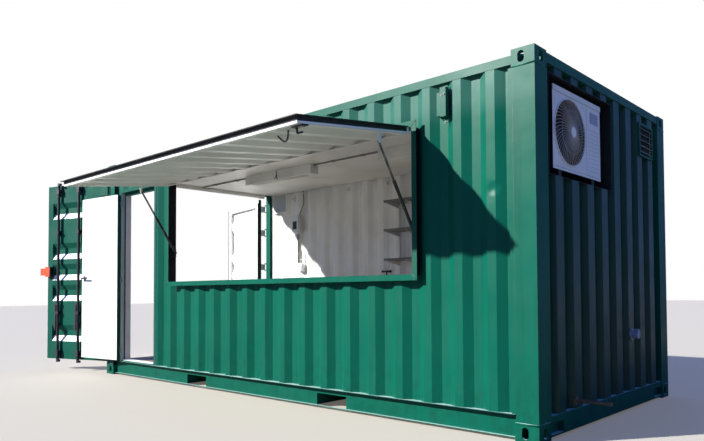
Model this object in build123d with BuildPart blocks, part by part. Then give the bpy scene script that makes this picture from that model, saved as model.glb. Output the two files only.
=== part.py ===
from build123d import *
import os
from math import asin, atan2, cos, degrees, floor, hypot, radians, sin

os.makedirs("parts", exist_ok=True)

# A 20 ft shipping container made into a cabin, in millimetres.
# The origin is on the ground, midway between the four bottom corner castings.
# +X runs along the container to its closed end, -Y is the side with the serving hatch.

# Overall container
length = 6058.0
width = 2438.0
height = 2591.0
half_l = length / 2
half_w = width / 2

# Corner castings and their apertures
casting_l = 178.0
casting_w = 162.0
casting_h = 118.0
casting_wall = 18.0
lock_slot_l = 124.0
lock_slot_w = 63.5
lock_spacing_x = 5853.0
lock_spacing_y = 2259.0
side_slot_l = 79.0
side_slot_w = 51.0

# Long side wall sheet
sheet = 2.0
side_inset = 8.0
side_pitch = 282.0
side_crest = 72.0
side_slope = 68.0
side_depth = 36.0

# Closed end wall sheet
end_inset = 10.0
end_pitch = 250.0
end_crest = 110.0
end_slope = 18.0
end_depth = 45.0

# Roof sheet
roof_pitch = 209.0
roof_crest = 90.0
roof_slope = 14.0
roof_depth = 20.0
roof_top = height - 26.0

# Rails
bottom_rail_low = 18.0
bottom_rail_top = 174.0
bottom_rail_web = 45.0
bottom_rail_plate = 4.5
top_rail_low = height - 96.0
top_rail_high = height - 36.0
top_rail_wide = 60.0
tube_wall = 4.0
end_sill_top = 155.0
end_header_top = height - 10.0
end_header_low = end_header_top - 66.0
end_beam_depth = 50.0
door_sill_top = 128.0
door_header_low = end_header_top - 163.0
door_beam_depth = 110.0
door_header_stop = 47.0

# Corner posts
post_plate = 6.0
post_end_face = 170.0
post_rebate = 10.0
post_flange = 29.0
door_post_face = 2985.0
door_post_front = -door_post_face
door_post_width = 49.0
door_post_stop = 2900.0
door_post_corner = 22.0

# Floor and underframe
floor_low = 150.0
floor_thick = 28.0
floor_top = floor_low + floor_thick
cross_high = 122.0
cross_wide = 45.0
cross_plate = 4.0
pocket_centre = 1041.0
pocket_wide = 360.0
pocket_low = 22.0
pocket_top = 122.0

# Frames round the hatch and the personnel doorway, standing proud of the wall
frame_face = 46.0
frame_plate = 5.0
frame_front = 1267.0
frame_back = 1176.0
hatch_left = -1467.0
hatch_right = 2018.0
hatch_low = 1114.0
hatch_top = 2210.0
doorway_left = -2640.0
doorway_right = -1904.0
doorway_low = 185.0
doorway_top = 2182.0
doorway_front = 1219.0
doorway_back = 1110.0
doorway_head_back = 1140.0
doorway_face = 70.0
rebate_wide = 34.0
rebate_back = 1175.0

# Awning, top-hinged on the hatch header
awning_pin_y = -1275.0
awning_pin_z = hatch_top - 5.0
awning_droop = 7.1
awning_gap = 12.0
awning_back = 6.0
awning_reach = 1068.0
awning_deep = 40.0
awning_under = 48.0
awning_edge = 40.0
awning_wall = 4.0
seal_thick = 5.0
seal_lap = 30.0
seal_low = -2.0
seal_high = 4.0

# Gas struts of the awning
awning_knuckle = 30.0
awning_knuckle_r = 8.0
awning_pin_r = 4.0
strut_inset = 36.0
strut_low_y = -1200.0
strut_low_z = 1430.0
strut_along = 323.8
strut_below = 113.6
cylinder_r = 13.0
cylinder_l = 400.0
rod_r = 9.0
eye_r = 9.0
eye_thick = 9.0

# Cargo doors
cargo_pin_x = -3040.0
cargo_pin_y = 1212.0
leaf_start = 50.0
leaf_end = 1200.0
leaf_face = 61.0
leaf_thick = 50.0
leaf_low = 138.0
leaf_top = height - 161.0
leaf_high = leaf_top - leaf_low
leaf_stile = 90.0
leaf_rail = 110.0
leaf_tube_wall = 4.0
drain_hole_r = 5.0
near_open = 105.5
far_open = 101.5
trough_depth = 34.0
trough_flat = 72.0
trough_slope = 70.0
trough_shares = (0.148, 0.379, 0.499, 0.620, 0.853)
trough_heights = [leaf_low + share * leaf_high for share in trough_shares]
lock_rod_r = 17.0
lock_rod_off = 28.0
lock_rod_at = (576.0, 962.0)
hinge_pin_r = 9.0
knuckle_r = 14.0
knuckle_h = 90.0
hinge_shares = (0.084, 0.3145, 0.545, 0.776, 0.9366)
hinge_heights = [leaf_low + share * leaf_high for share in hinge_shares]
handle_z = (518.0, 850.0)
guide_sizes = ((0.035, 42.0, 44.0), (0.265, 30.0, 26.0), (0.726, 30.0, 26.0), (0.965, 42.0, 44.0))
lock_box_z = 1288.0
lock_box_h = 132.0
lock_box_w = 100.0
lock_tongue = 90.0

# Personnel door
person_pin_x = -2648.0
person_pin_y = -1226.0
person_wide = 766.0
person_thick = 38.0
person_skin = 2.0
person_back = 9.0
person_open = 173.0
person_hinges = (300.0, 1150.0, 2080.0)
person_knuckle_r = 6.5
person_hinge_pin_r = 3.5
handle_low = 1145.0
lever_z = handle_low + 34.0
person_low = doorway_low + 5.0
person_top = doorway_top + 8.0

# Air conditioner in its recess
recess_left = -1017.0
recess_right = 11.0
recess_top = height - 129.0
recess_low = recess_top - 692.0
recess_depth = 330.0
unit_front = 2980.0
unit_left = recess_left + 128.0
unit_right = recess_right - 119.0
unit_low = recess_low + 64.0
unit_top = recess_top - 42.0
unit_depth = 265.0
fan_r = 246.0
fan_y = unit_left + fan_r + 19.0
fan_z = (unit_low + unit_top) / 2 - 3.0

# Louvre vents, power inlet and drain on the closed end
vent_wide = 314.0
vent_high = 295.0
vent_y = 755.0
vent_z = height - 295.0
rear_vent_x = -2642.0
rear_vent_z = height - 261.0
inlet_y = 371.0
inlet_z = 617.0
inlet_r = 47.0
drain_y = -677.0
drain_z = 211.0
drain_l = 265.0
drain_r = 14.0
vent_box_x = 2303.0
vent_box_w = 52.0
vent_box_h = 212.0
vent_box_drop = 44.0

# Cabin fittings
ceiling_low = top_rail_low - 29.0
ceiling_thick = 12.0
lamp_l = 1256.0
lamp_w = 106.0
lamp_h = 112.0
lamp_cap = 125.0
lamp_centres = (-1147.0, 1167.0)
shelf_left = -284.0
shelf_l = 680.0
shelf_deep = 260.0
shelf_thick = 25.0
shelf_tops = (1398.0, 1762.0, 2120.0)
bracket_spacing = 305.0
board_left = -2262.0
board_w = 130.0
board_deep = 84.0
board_low = 1860.0
board_high = 2112.0
conduit_r = 9.0
conduit_off = 0.0
outlet_x = -2143.0
outlet_w = 122.0
outlet_low = 1298.0
outlet_high = 1404.0


def save(piece, name):
    piece.part.label = name
    export_step(piece.part, f"parts/{name}.step")


def block(x, y, z, mode=Mode.ADD):
    """A plain block between two limits on each axis."""
    middle = [(a + b) / 2 for a, b in (x, y, z)]
    with Locations(tuple(middle)):
        Box(x[1] - x[0], y[1] - y[0], z[1] - z[0], mode=mode)


def plate_outline(path, thick):
    """Closed outline of a plate along a path, with its thickness on the left of travel."""
    points = [Vector(*p) for p in path]
    runs = [(b - a).normalized() for a, b in zip(points, points[1:])]
    normals = [Vector(-r.Y, r.X) for r in runs]
    other = [points[0] + normals[0] * thick]
    for corner, before, after in zip(points[1:-1], normals, normals[1:]):
        other.append(corner + (before + after) * (thick / (1 + before.dot(after))))
    other.append(points[-1] + normals[-1] * thick)
    return points + other[::-1]


def wave(low, high, pitch, crest, slope, depth):
    """Pressed profile from low to high as (position, inset) points, with a trough at zero."""

    def inset(at):
        from_crest = abs(at % pitch - pitch / 2)
        return depth * min(max((from_crest - crest / 2) / slope, 0.0), 1.0)

    edges = (-crest / 2 - slope, -crest / 2, crest / 2, crest / 2 + slope)
    first = floor(low / pitch) - 1
    last = floor(high / pitch) + 1
    bends = [(n + 0.5) * pitch + e for n in range(first, last + 1) for e in edges]
    inside = [b for b in bends if low + sheet < b < high - sheet]
    return [(at, inset(at)) for at in [low, *inside, high]]


def tube_sketch(wide, high, wall):
    """Rectangular hollow section."""
    with BuildSketch() as section:
        Rectangle(wide, high)
        Rectangle(wide - 2 * wall, high - 2 * wall, mode=Mode.SUBTRACT)
    return section.sketch


# Corner castings: hollow boxes with an oval aperture in three faces
def corner_castings(low, aperture_z):
    casting_x = half_l - casting_l / 2
    casting_y = half_w - casting_w / 2
    slot_z = low + casting_h / 2
    with BuildPart() as castings:
        for sx in (-1, 1):
            for sy in (-1, 1):
                with Locations((sx * casting_x, sy * casting_y, low + casting_h / 2)):
                    Box(casting_l, casting_w, casting_h)
                    Box(
                        casting_l - 2 * casting_wall,
                        casting_w - 2 * casting_wall,
                        casting_h - 2 * casting_wall,
                        mode=Mode.SUBTRACT,
                    )
                lock_x = sx * lock_spacing_x / 2
                lock_y = sy * lock_spacing_y / 2
                with BuildSketch(Plane.XY.offset(aperture_z)):
                    with Locations((lock_x, lock_y)):
                        SlotOverall(lock_slot_l, lock_slot_w)
                extrude(amount=casting_wall, both=True, mode=Mode.SUBTRACT)
                side = Plane(origin=(lock_x, sy * half_w, slot_z), x_dir=(0, 0, 1), z_dir=(0, -sy, 0))
                with BuildSketch(side):
                    SlotOverall(side_slot_l, side_slot_w)
                extrude(amount=casting_wall, mode=Mode.SUBTRACT)
                end = Plane(origin=(sx * half_l, lock_y, slot_z), x_dir=(0, 0, 1), z_dir=(-sx, 0, 0))
                with BuildSketch(end):
                    SlotOverall(side_slot_l, side_slot_w)
                extrude(amount=casting_wall, mode=Mode.SUBTRACT)
    return castings


save(corner_castings(0.0, 0.0), "bottom_corner_castings")
save(corner_castings(height - casting_h, height), "top_corner_castings")

# Corner posts of bent plate, between the castings
end_post_path = [
    (half_l - casting_l - post_flange, -half_w + post_rebate),
    (half_l - casting_l + post_rebate, -half_w + post_rebate),
    (half_l - casting_l + post_rebate, -half_w),
    (half_l, -half_w),
    (half_l, -half_w + post_end_face),
    (half_l - end_depth - end_inset, -half_w + post_end_face),
]
door_post_path = [
    (-half_l + casting_l, -half_w + 1.6 * door_post_width),
    (-door_post_stop, -half_w + 1.6 * door_post_width),
    (-door_post_stop, -half_w + door_post_width),
    (-door_post_face, -half_w + door_post_width),
    (-door_post_face, -half_w + door_post_corner),
    (-door_post_face + door_post_corner, -half_w),
    (-half_l + casting_l, -half_w),
]
with BuildPart() as corner_posts:
    for path in (end_post_path, door_post_path):
        with BuildSketch(Plane.XY.offset(casting_h)):
            with BuildLine():
                Polyline(*plate_outline(path, post_plate), close=True)
            make_face()
        extrude(amount=height - 2 * casting_h)
    over_rail = (half_l - casting_l - post_flange - 1, half_l - casting_l)
    block(over_rail, (-half_w, -half_w + 60), (casting_h, bottom_rail_top), mode=Mode.SUBTRACT)
    mirror(about=Plane.XZ)
save(corner_posts, "corner_posts")

# Roof rails along both sides
side_run = length - 2 * casting_l
with BuildPart() as roof_rails:
    rail_y = -half_w + 6 + top_rail_wide / 2
    rail_z = (top_rail_low + top_rail_high) / 2
    with BuildSketch(Plane(origin=(0, rail_y, rail_z), x_dir=(0, 1, 0), z_dir=(1, 0, 0))):
        add(tube_sketch(top_rail_wide, top_rail_high - top_rail_low, tube_wall))
    extrude(amount=side_run / 2, both=True)
    mirror(about=Plane.XZ)
save(roof_rails, "roof_rails")

# Bottom side rails: channels open outwards, with a fork pocket cut through each web
web_y = half_w - bottom_rail_web
inner_flange = 28.0


def bottom_rail(sy):
    path = [
        (-sy * (web_y + bottom_rail_web * 0.7), bottom_rail_low),
        (-sy * web_y, bottom_rail_low),
        (-sy * web_y, bottom_rail_top),
        (-sy * (half_w - 1), bottom_rail_top),
    ]
    with BuildPart() as rail:
        with BuildSketch(Plane(origin=(0, 0, 0), x_dir=(0, 1, 0), z_dir=(1, 0, 0))):
            with BuildLine():
                thick = bottom_rail_plate if sy > 0 else -bottom_rail_plate
                Polyline(*plate_outline(path, thick), close=True)
            make_face()
        extrude(amount=side_run / 2, both=True)
        for sx in (-1, 1):
            pocket_x = (sx * pocket_centre - pocket_wide / 2, sx * pocket_centre + pocket_wide / 2)
            web = sorted((-sy * (web_y - 20), -sy * (web_y + 10)))
            block(pocket_x, web, (pocket_low, pocket_top), mode=Mode.SUBTRACT)
    return rail


save(bottom_rail(1), "bottom_rail_front")
save(bottom_rail(-1), "bottom_rail_rear")

# Cross beams of the two ends
beam_run = width - 2 * casting_w
with BuildPart() as end_sill:
    sill_y = beam_run / 2
    sill_x = (half_l - 4 - end_beam_depth, half_l - 4)
    sill_between = half_w - post_end_face - 0.3
    block(sill_x, (-sill_y, sill_y), (bottom_rail_low, casting_h - 0.3))
    block(sill_x, (-sill_between, sill_between), (casting_h - 0.3, end_sill_top))
    for sy in (-1, 1):
        notch = sorted((sy * sill_y, sy * (sill_y - 190)))
        block((sill_x[1] - 40, sill_x[1]), notch, (bottom_rail_low + 12, casting_h - 10), mode=Mode.SUBTRACT)
save(end_sill, "end_sill")
with BuildPart() as end_header:
    header_z = (end_header_low + end_header_top) / 2
    header_x = half_l - 4 - end_beam_depth / 2
    with BuildSketch(Plane(origin=(header_x, 0, header_z), x_dir=(1, 0, 0), z_dir=(0, -1, 0))):
        add(tube_sketch(end_beam_depth, end_header_top - end_header_low, tube_wall))
    extrude(amount=beam_run / 2, both=True)
save(end_header, "end_header")
with BuildPart() as door_sill:
    sill_x = (-door_post_face, -door_post_face + door_beam_depth)
    block(sill_x, (-beam_run / 2, beam_run / 2), (bottom_rail_low, door_sill_top))
save(door_sill, "door_sill")
with BuildPart() as door_header:
    wall = tube_wall
    header_y = (-beam_run / 2, beam_run / 2)
    header_x = (-door_post_face, -door_post_face + door_beam_depth)
    stop_x = (header_x[1] - door_header_stop, header_x[1])
    seat = leaf_top + 6
    block(header_x, header_y, (seat, end_header_top))
    block(stop_x, header_y, (door_header_low, seat))
    inside_x = (header_x[0] + wall, header_x[1] - wall)
    block(inside_x, header_y, (seat + wall, end_header_top - wall), mode=Mode.SUBTRACT)
    stop_inside_x = (stop_x[0] + wall, stop_x[1] - wall)
    block(stop_inside_x, header_y, (door_header_low + wall, seat + wall), mode=Mode.SUBTRACT)
save(door_header, "door_header")

# Underframe: channel cross members, and the two fork tunnels between the rails
tunnel_side = pocket_wide / 2 + cross_plate
beam_low = floor_low - cross_high
cross_between = [i * 285.0 for i in range(-9, 10)]
clear_of_tunnel = [
    x - cross_wide / 2 for x in cross_between if abs(abs(x) - pocket_centre) > tunnel_side + cross_wide
]
with BuildPart() as cross_members:
    for x in clear_of_tunnel:
        path = [(x + cross_wide, beam_low), (x, beam_low), (x, floor_low), (x + cross_wide, floor_low)]
        with BuildSketch(Plane.XZ):
            with BuildLine():
                Polyline(*plate_outline(path, -cross_plate), close=True)
            make_face()
        extrude(amount=web_y - 0.3, both=True)
save(cross_members, "cross_members")
with BuildPart() as fork_tunnels:
    for sx in (-1, 1):
        left = sx * pocket_centre - pocket_wide / 2
        right = sx * pocket_centre + pocket_wide / 2
        path = [(right, pocket_low), (right, pocket_top), (left, pocket_top), (left, pocket_low)]
        with BuildSketch(Plane.XZ):
            with BuildLine():
                Polyline(*plate_outline(path, -cross_plate), close=True)
            make_face()
        extrude(amount=web_y - 0.3, both=True)
save(fork_tunnels, "fork_tunnels")

# Plywood floor, notched round the door posts and the personnel doorway
cabin_y = half_w - side_inset - side_depth - sheet - 0.3
post_clear_x = -half_l + casting_l + 0.3
post_clear_y = half_w - 1.6 * door_post_width - post_plate - 0.3
with BuildPart() as deck:
    floor_x = (-door_post_face + door_beam_depth + 0.3, half_l - end_inset - end_depth - sheet - 0.3)
    block(floor_x, (-cabin_y, cabin_y), (floor_low, floor_top))
    for sy in (-1, 1):
        corner_y = sorted((sy * post_clear_y, sy * half_w))
        block((-half_l, post_clear_x), corner_y, (floor_low, floor_top), mode=Mode.SUBTRACT)
    threshold_x = (doorway_left - doorway_face - 0.3, doorway_right + doorway_face + 0.3)
    block(threshold_x, (-half_w, -doorway_back + 0.3), (floor_low, floor_top), mode=Mode.SUBTRACT)
save(deck, "floor")


# Corrugated sheets
def side_sheet(x, z, sy=-1):
    """A stretch of a long side, between two X and two Z limits."""
    points = wave(*x, side_pitch, side_crest, side_slope, side_depth)
    outer = half_w - side_inset
    path = [(u, sy * (outer - inset)) for u, inset in points]
    with BuildPart() as wall:
        with BuildSketch(Plane.XY.offset(z[0])):
            with BuildLine():
                Polyline(*plate_outline(path, -sy * sheet), close=True)
            make_face()
        extrude(amount=z[1] - z[0])
    return wall


def end_sheet(y, z):
    """A stretch of the closed end, between two Y and two Z limits."""
    points = wave(*y, end_pitch, end_crest, end_slope, end_depth)
    path = [(half_l - end_inset - inset, u) for u, inset in points]
    with BuildPart() as wall:
        with BuildSketch(Plane.XY.offset(z[0])):
            with BuildLine():
                Polyline(*plate_outline(path, sheet), close=True)
            make_face()
        extrude(amount=z[1] - z[0])
    return wall


wall_z = (bottom_rail_top, top_rail_low)
wall_left = -half_l + casting_l
wall_right = half_l - casting_l - post_flange
hatch_cut = (hatch_left - frame_plate, hatch_right + frame_plate)
doorway_outer = (doorway_left - doorway_face, doorway_right + doorway_face)
doorway_sill_low = bottom_rail_top + 1
doorway_head_top = doorway_top + doorway_face
save(side_sheet((wall_left, doorway_outer[0]), wall_z), "front_wall_corner")
save(side_sheet((doorway_outer[1], hatch_cut[0]), wall_z), "front_wall_pier")
save(side_sheet((hatch_cut[1], wall_right), wall_z), "front_wall_right")
save(side_sheet(hatch_cut, (bottom_rail_top, hatch_low - frame_plate)), "front_wall_below_hatch")
save(side_sheet(hatch_cut, (hatch_top + frame_plate, top_rail_low)), "front_wall_above_hatch")
save(side_sheet(doorway_outer, (doorway_head_top, top_rail_low)), "front_wall_above_doorway")
rear_vent = (rear_vent_x - vent_wide / 2 + 12, rear_vent_x + vent_wide / 2 - 12)
with BuildPart() as rear_wall:
    add(side_sheet((wall_left, wall_right), wall_z, sy=1).part)
    rear_cut = (half_w - 80, half_w)
    rear_cut_z = (rear_vent_z - vent_high / 2 + 12, rear_vent_z + vent_high / 2 - 12)
    block(rear_vent, rear_cut, rear_cut_z, mode=Mode.SUBTRACT)
save(rear_wall, "rear_wall")

end_y = half_w - post_end_face
end_low = end_sill_top
save(end_sheet((-end_y, end_y), (end_low, recess_low)), "end_wall_lower")
with BuildPart() as end_wall_upper:
    add(end_sheet((recess_right, end_y), (recess_low, end_header_low)).part)
    vent_cut_y = (vent_y - vent_wide / 2 + 12, vent_y + vent_wide / 2 - 12)
    vent_cut_z = (vent_z - vent_high / 2 + 12, vent_z + vent_high / 2 - 12)
    block((half_l - 80, half_l), vent_cut_y, vent_cut_z, mode=Mode.SUBTRACT)
save(end_wall_upper, "end_wall_upper")
save(end_sheet((-end_y, recess_right), (recess_top, end_header_low)), "end_wall_over_recess")
save(end_sheet((-end_y, recess_left), (recess_low, recess_top)), "end_wall_edge_strip")

with BuildPart() as roof_panel:
    roof_x = half_l - end_beam_depth - 10
    points = wave(-door_post_face + door_beam_depth + 0.3, roof_x, roof_pitch, roof_crest, roof_slope, roof_depth)
    path = [(u, roof_top - inset) for u, inset in points]
    with BuildSketch(Plane.XZ):
        with BuildLine():
            Polyline(*plate_outline(path, -sheet), close=True)
        make_face()
    extrude(amount=half_w - 6 - top_rail_wide, both=True)
    for sx in (-1, 1):
        for sy in (-1, 1):
            corner_x = sorted((sx * (half_l - casting_l - 0.3), sx * half_l))
            corner_y = sorted((sy * (half_w - casting_w - 0.3), sy * half_w))
            block(corner_x, corner_y, (height - casting_h, height), mode=Mode.SUBTRACT)
save(roof_panel, "roof_panel")


# Steel angle round the hatch: a web through the wall and a flange standing off its face
def frame_angle(opening_edge, outward, upright_bar, web_run, flange_run):
    """A bar of angle on one edge of the hatch, with the runs of its web and of its flange."""
    web = sorted((opening_edge, opening_edge + outward * frame_plate))
    flange = sorted((opening_edge, opening_edge + outward * frame_face))
    web_y = (-frame_front, -frame_back)
    flange_y = (-frame_front, frame_plate - frame_front)
    for across, deep, run in ((web, web_y, web_run), (flange, flange_y, flange_run)):
        if upright_bar:
            block(across, deep, run)
        else:
            block(run, deep, across)


with BuildPart() as hatch_jambs:
    jamb_web = (hatch_low - frame_plate, hatch_top + frame_plate)
    jamb_flange = (hatch_low - frame_face, hatch_top + frame_face)
    frame_angle(hatch_left, -1, True, jamb_web, jamb_flange)
    frame_angle(hatch_right, 1, True, jamb_web, jamb_flange)
save(hatch_jambs, "hatch_jambs")
with BuildPart() as hatch_bars:
    hatch_run = (hatch_left, hatch_right)
    frame_angle(hatch_low, -1, False, hatch_run, hatch_run)
    frame_angle(hatch_top, 1, False, hatch_run, hatch_run)
save(hatch_bars, "hatch_sill_and_header")


def doorway_bar(outline, plane, run):
    """A rebated bar of the personnel doorway's frame."""
    with BuildSketch(plane) as section:
        with BuildLine():
            Polyline(*outline, close=True)
        make_face()
    return extrude(section.sketch, amount=run, mode=Mode.PRIVATE)


def rebated(outer, clear, back):
    """Corners of a rebated section from its outer side to the clear opening, in plan."""
    step = outer + (rebate_start if clear > outer else -rebate_start)
    return [
        (outer, -doorway_front),
        (step, -doorway_front),
        (step, -rebate_back),
        (clear, -rebate_back),
        (clear, -back),
        (outer, -back),
    ]


rebate_start = doorway_face - rebate_wide
doorway_head_step = doorway_head_top - rebate_start
with BuildPart() as doorway_frame:
    for outer, clear in ((doorway_outer[0], doorway_left), (doorway_outer[1], doorway_right)):
        jamb = rebated(outer, clear, doorway_back)
        add(doorway_bar(jamb, Plane.XY.offset(doorway_sill_low), doorway_head_top - doorway_sill_low))
    head = [(-y, z) for z, y in rebated(doorway_head_top, doorway_top, doorway_head_back)]
    head_plane = Plane(origin=(doorway_left, 0, 0), x_dir=(0, -1, 0), z_dir=(1, 0, 0))
    head_outline = [(y, -z) for y, z in head]
    add(doorway_bar(head_outline, head_plane, doorway_right - doorway_left))
    for x in ((doorway_outer[0] + rebate_start, doorway_left), (doorway_right, doorway_outer[1] - rebate_start)):
        block(x, (-doorway_front, -rebate_back), (doorway_head_step, doorway_head_top))
    block((doorway_left, doorway_right), (-doorway_front, -doorway_back), (doorway_sill_low, doorway_low))
save(doorway_frame, "doorway_frame")


# Awning: a framed sheet hinged at the top of the hatch, held out by two gas struts
# In its plane, x is along the hatch, y runs out from the hinge and z is its upper side
droop = radians(awning_droop)
awning_plane = Plane(
    origin=(0, awning_pin_y, awning_pin_z),
    x_dir=(-1, 0, 0),
    z_dir=(0, -sin(droop), cos(droop)),
)
awning_x = (hatch_left + awning_gap, hatch_right - awning_gap)
far_edge = awning_back + awning_reach


def awning_bar(x, y, z, mode=Mode.ADD):
    """A block on the awning, with x as in the world, y out from the hinge and z upwards."""
    centre = (-(x[0] + x[1]) / 2, (y[0] + y[1]) / 2, (z[0] + z[1]) / 2)
    place = Plane(
        origin=awning_plane.from_local_coords(centre),
        x_dir=awning_plane.x_dir,
        z_dir=awning_plane.z_dir,
    )
    with Locations(Location(place)):
        Box(x[1] - x[0], y[1] - y[0], z[1] - z[0], mode=mode)


awning_z = (-awning_under, awning_deep - awning_under)
inner_x = (awning_x[0] + awning_edge, awning_x[1] - awning_edge)
inner_y = (awning_back + awning_edge, far_edge - awning_edge)
above_leg_z = awning_wall - awning_under
panel_depth = awning_deep - awning_wall - 4.0
panel_top = above_leg_z + 0.3 + sheet + panel_depth
hinge_step = (hatch_right - hatch_left) / 5
awning_hinge_x = [hatch_left + hinge_step * (n + 0.5) for n in range(5)]


def bar_along_x(centre, half_run, radius, mode=Mode.ADD):
    """A round bar along X, centred on a point."""
    with Locations(Location(centre, (0, 90, 0))):
        Cylinder(radius, 2 * half_run, mode=mode)


with BuildPart() as awning_frame:
    awning_bar(awning_x, (awning_back, far_edge), awning_z)
    awning_bar(inner_x, inner_y, awning_z, mode=Mode.SUBTRACT)
    above_leg = (above_leg_z, awning_z[1])
    upstand_x = (awning_x[0] + awning_wall, awning_x[1] - awning_wall)
    upstand_y = (awning_back + awning_wall, far_edge - awning_wall)
    awning_bar(upstand_x, upstand_y, above_leg, mode=Mode.SUBTRACT)
    for x in awning_hinge_x:
        bar_along_x((x, awning_pin_y, awning_pin_z), awning_knuckle / 2, awning_knuckle_r)
        tab = (awning_deep - awning_under - 1, awning_deep - awning_under + 6)
        awning_bar((x - awning_knuckle / 2, x + awning_knuckle / 2), (0, awning_back + 24), tab)
        bore = awning_knuckle / 2 + 1
        bar_along_x((x, awning_pin_y, awning_pin_z), bore, awning_pin_r + 0.4, mode=Mode.SUBTRACT)
save(awning_frame, "awning_frame")
with BuildPart() as awning_panel:
    panel_x = (awning_x[0] + awning_wall + sheet / 2, awning_x[1] - awning_wall - sheet / 2)
    panel_y = (awning_back + awning_wall + 0.3, far_edge - awning_wall - 0.3)
    points = wave(*panel_x, side_pitch, side_crest, side_slope, panel_depth)
    start = awning_plane.from_local_coords((0, panel_y[0], 0))
    with BuildSketch(Plane(origin=start, x_dir=(1, 0, 0), z_dir=awning_plane.y_dir)):
        with BuildLine():
            path = [(u, panel_top - inset) for u, inset in points]
            Polyline(*plate_outline(path, -sheet), close=True)
        make_face()
    extrude(amount=panel_y[1] - panel_y[0])
save(awning_panel, "awning_panel")
with BuildPart() as awning_seal:
    outer_face = awning_z[1]
    seal_y = (awning_back + 30, far_edge)
    side_x = (awning_x[0] - seal_thick, awning_x[1] + seal_thick)
    lap_x = (awning_x[0] - awning_gap - seal_lap / 2, awning_x[1] + awning_gap + seal_lap / 2)
    awning_bar(side_x, (seal_y[0], seal_y[1] + seal_thick), (awning_z[0], seal_low))
    awning_bar(lap_x, (seal_y[0], seal_y[1] + seal_lap), (seal_low, seal_high))
    awning_bar(awning_x, (awning_back, far_edge), awning_z, mode=Mode.SUBTRACT)
    rim_x = (awning_x[0] + 20, awning_x[1] - 20)
    awning_bar(rim_x, (seal_y[0] - 1, far_edge - 20), (outer_face - 1, seal_high + 1), mode=Mode.SUBTRACT)
save(awning_seal, "awning_seal")
with BuildPart() as awning_hinges:
    for x in awning_hinge_x:
        pin = (x, awning_pin_y, awning_pin_z)
        bar_along_x(pin, 1.5 * awning_knuckle + 2, awning_knuckle_r)
        gap = awning_knuckle / 2 + 1
        bar_along_x(pin, gap, awning_knuckle_r + 1, mode=Mode.SUBTRACT)
        bar_along_x(pin, 1.5 * awning_knuckle + 2, awning_pin_r)
        for side in (-1, 1):
            tab_x = sorted((x + side * gap, x + side * (1.5 * awning_knuckle + 2)))
            block(tab_x, (awning_pin_y, -frame_front), (awning_pin_z, awning_pin_z + 8))
            block(tab_x, (-frame_front - 4, -frame_front), (awning_pin_z + 2, awning_pin_z + 46))
save(awning_hinges, "awning_hinges")

# Gas struts: the cylinder turns on the jamb, and the rod slides in it
strut_top = awning_plane.from_local_coords((0, strut_along, -strut_below))
strut_run_y = strut_top.Y - strut_low_y
strut_run_z = strut_top.Z - strut_low_z
strut_open = hypot(strut_run_y, strut_run_z)
strut_x = (hatch_left + strut_inset, hatch_right - strut_inset)
strut_dir = Vector(0, strut_run_y / strut_open, strut_run_z / strut_open)


def round_bar(start, direction, long, radius):
    """A round bar from a point along a direction."""
    with BuildSketch(Plane(origin=start, z_dir=direction)) as section:
        Circle(radius)
    return extrude(section.sketch, amount=long, mode=Mode.PRIVATE)


with BuildPart() as gas_strut_cylinders:
    for x in strut_x:
        low = Vector(x, strut_low_y, strut_low_z)
        add(round_bar(low + strut_dir * 24, strut_dir, cylinder_l, cylinder_r))
        add(round_bar(low, strut_dir, 26, 6))
        add(round_bar(low - Vector(eye_thick / 2, 0, 0), (1, 0, 0), eye_thick, eye_r))
    for x in strut_x:
        low = Vector(x, strut_low_y, strut_low_z)
        bore = round_bar(low + strut_dir * 34, strut_dir, cylinder_l, rod_r + 0.6)
        add(bore, mode=Mode.SUBTRACT)
        pin_bore = round_bar(low - Vector(20, 0, 0), (1, 0, 0), 40, 5.3)
        add(pin_bore, mode=Mode.SUBTRACT)
save(gas_strut_cylinders, "gas_strut_cylinders")
rod_inside = 20.0
with BuildPart() as gas_strut_rods:
    rod_start = 24 + cylinder_l - rod_inside
    for x in strut_x:
        low = Vector(x, strut_low_y, strut_low_z)
        top = Vector(x, strut_top.Y, strut_top.Z)
        add(round_bar(low + strut_dir * rod_start, strut_dir, strut_open - rod_start, rod_r))
        add(round_bar(top - Vector(eye_thick / 2, 0, 0), (1, 0, 0), eye_thick, eye_r))
save(gas_strut_rods, "gas_strut_rods")
with BuildPart() as strut_brackets:
    for x, wall_x, side in ((strut_x[0], hatch_left, 1), (strut_x[1], hatch_right, -1)):
        start = Vector(wall_x, strut_low_y, strut_low_z)
        reach = strut_inset + eye_thick / 2 + 3
        add(round_bar(start, (side, 0, 0), reach, 5))
        plate_x = sorted((wall_x, wall_x + side * 5))
        block(plate_x, (strut_low_y - 20, strut_low_y + 24), (strut_low_z - 45, strut_low_z + 45))
save(strut_brackets, "strut_brackets")
with BuildPart() as awning_lugs:
    for x in strut_x:
        side = 1 if x > 0 else -1
        lug_x = sorted((x + side * (eye_thick / 2 + 6), x + side * (eye_thick / 2 + 11)))
        lug_y = (strut_along - 13, strut_along + 13)
        awning_bar(lug_x, lug_y, (-strut_below - 12, -awning_under))
save(awning_lugs, "awning_lugs")


# Cargo door leaves, each in its own plane: x from the hinge pin to the free edge, z up
def leaf_plane(sy, opened):
    turn = radians(opened)
    return Plane(
        origin=(cargo_pin_x, sy * cargo_pin_y, 0),
        x_dir=(-sin(turn), -sy * cos(turn), 0),
        z_dir=(0, 0, 1),
    )


near_plane = leaf_plane(-1, near_open)
far_plane = leaf_plane(1, far_open)


def leaf_block(plane, x, y, z, mode=Mode.ADD):
    middle = plane.from_local_coords(((x[0] + x[1]) / 2, (y[0] + y[1]) / 2, (z[0] + z[1]) / 2))
    with Locations(Location(Plane(origin=middle, x_dir=plane.x_dir, z_dir=plane.z_dir))):
        Box(x[1] - x[0], y[1] - y[0], z[1] - z[0], mode=mode)


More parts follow.
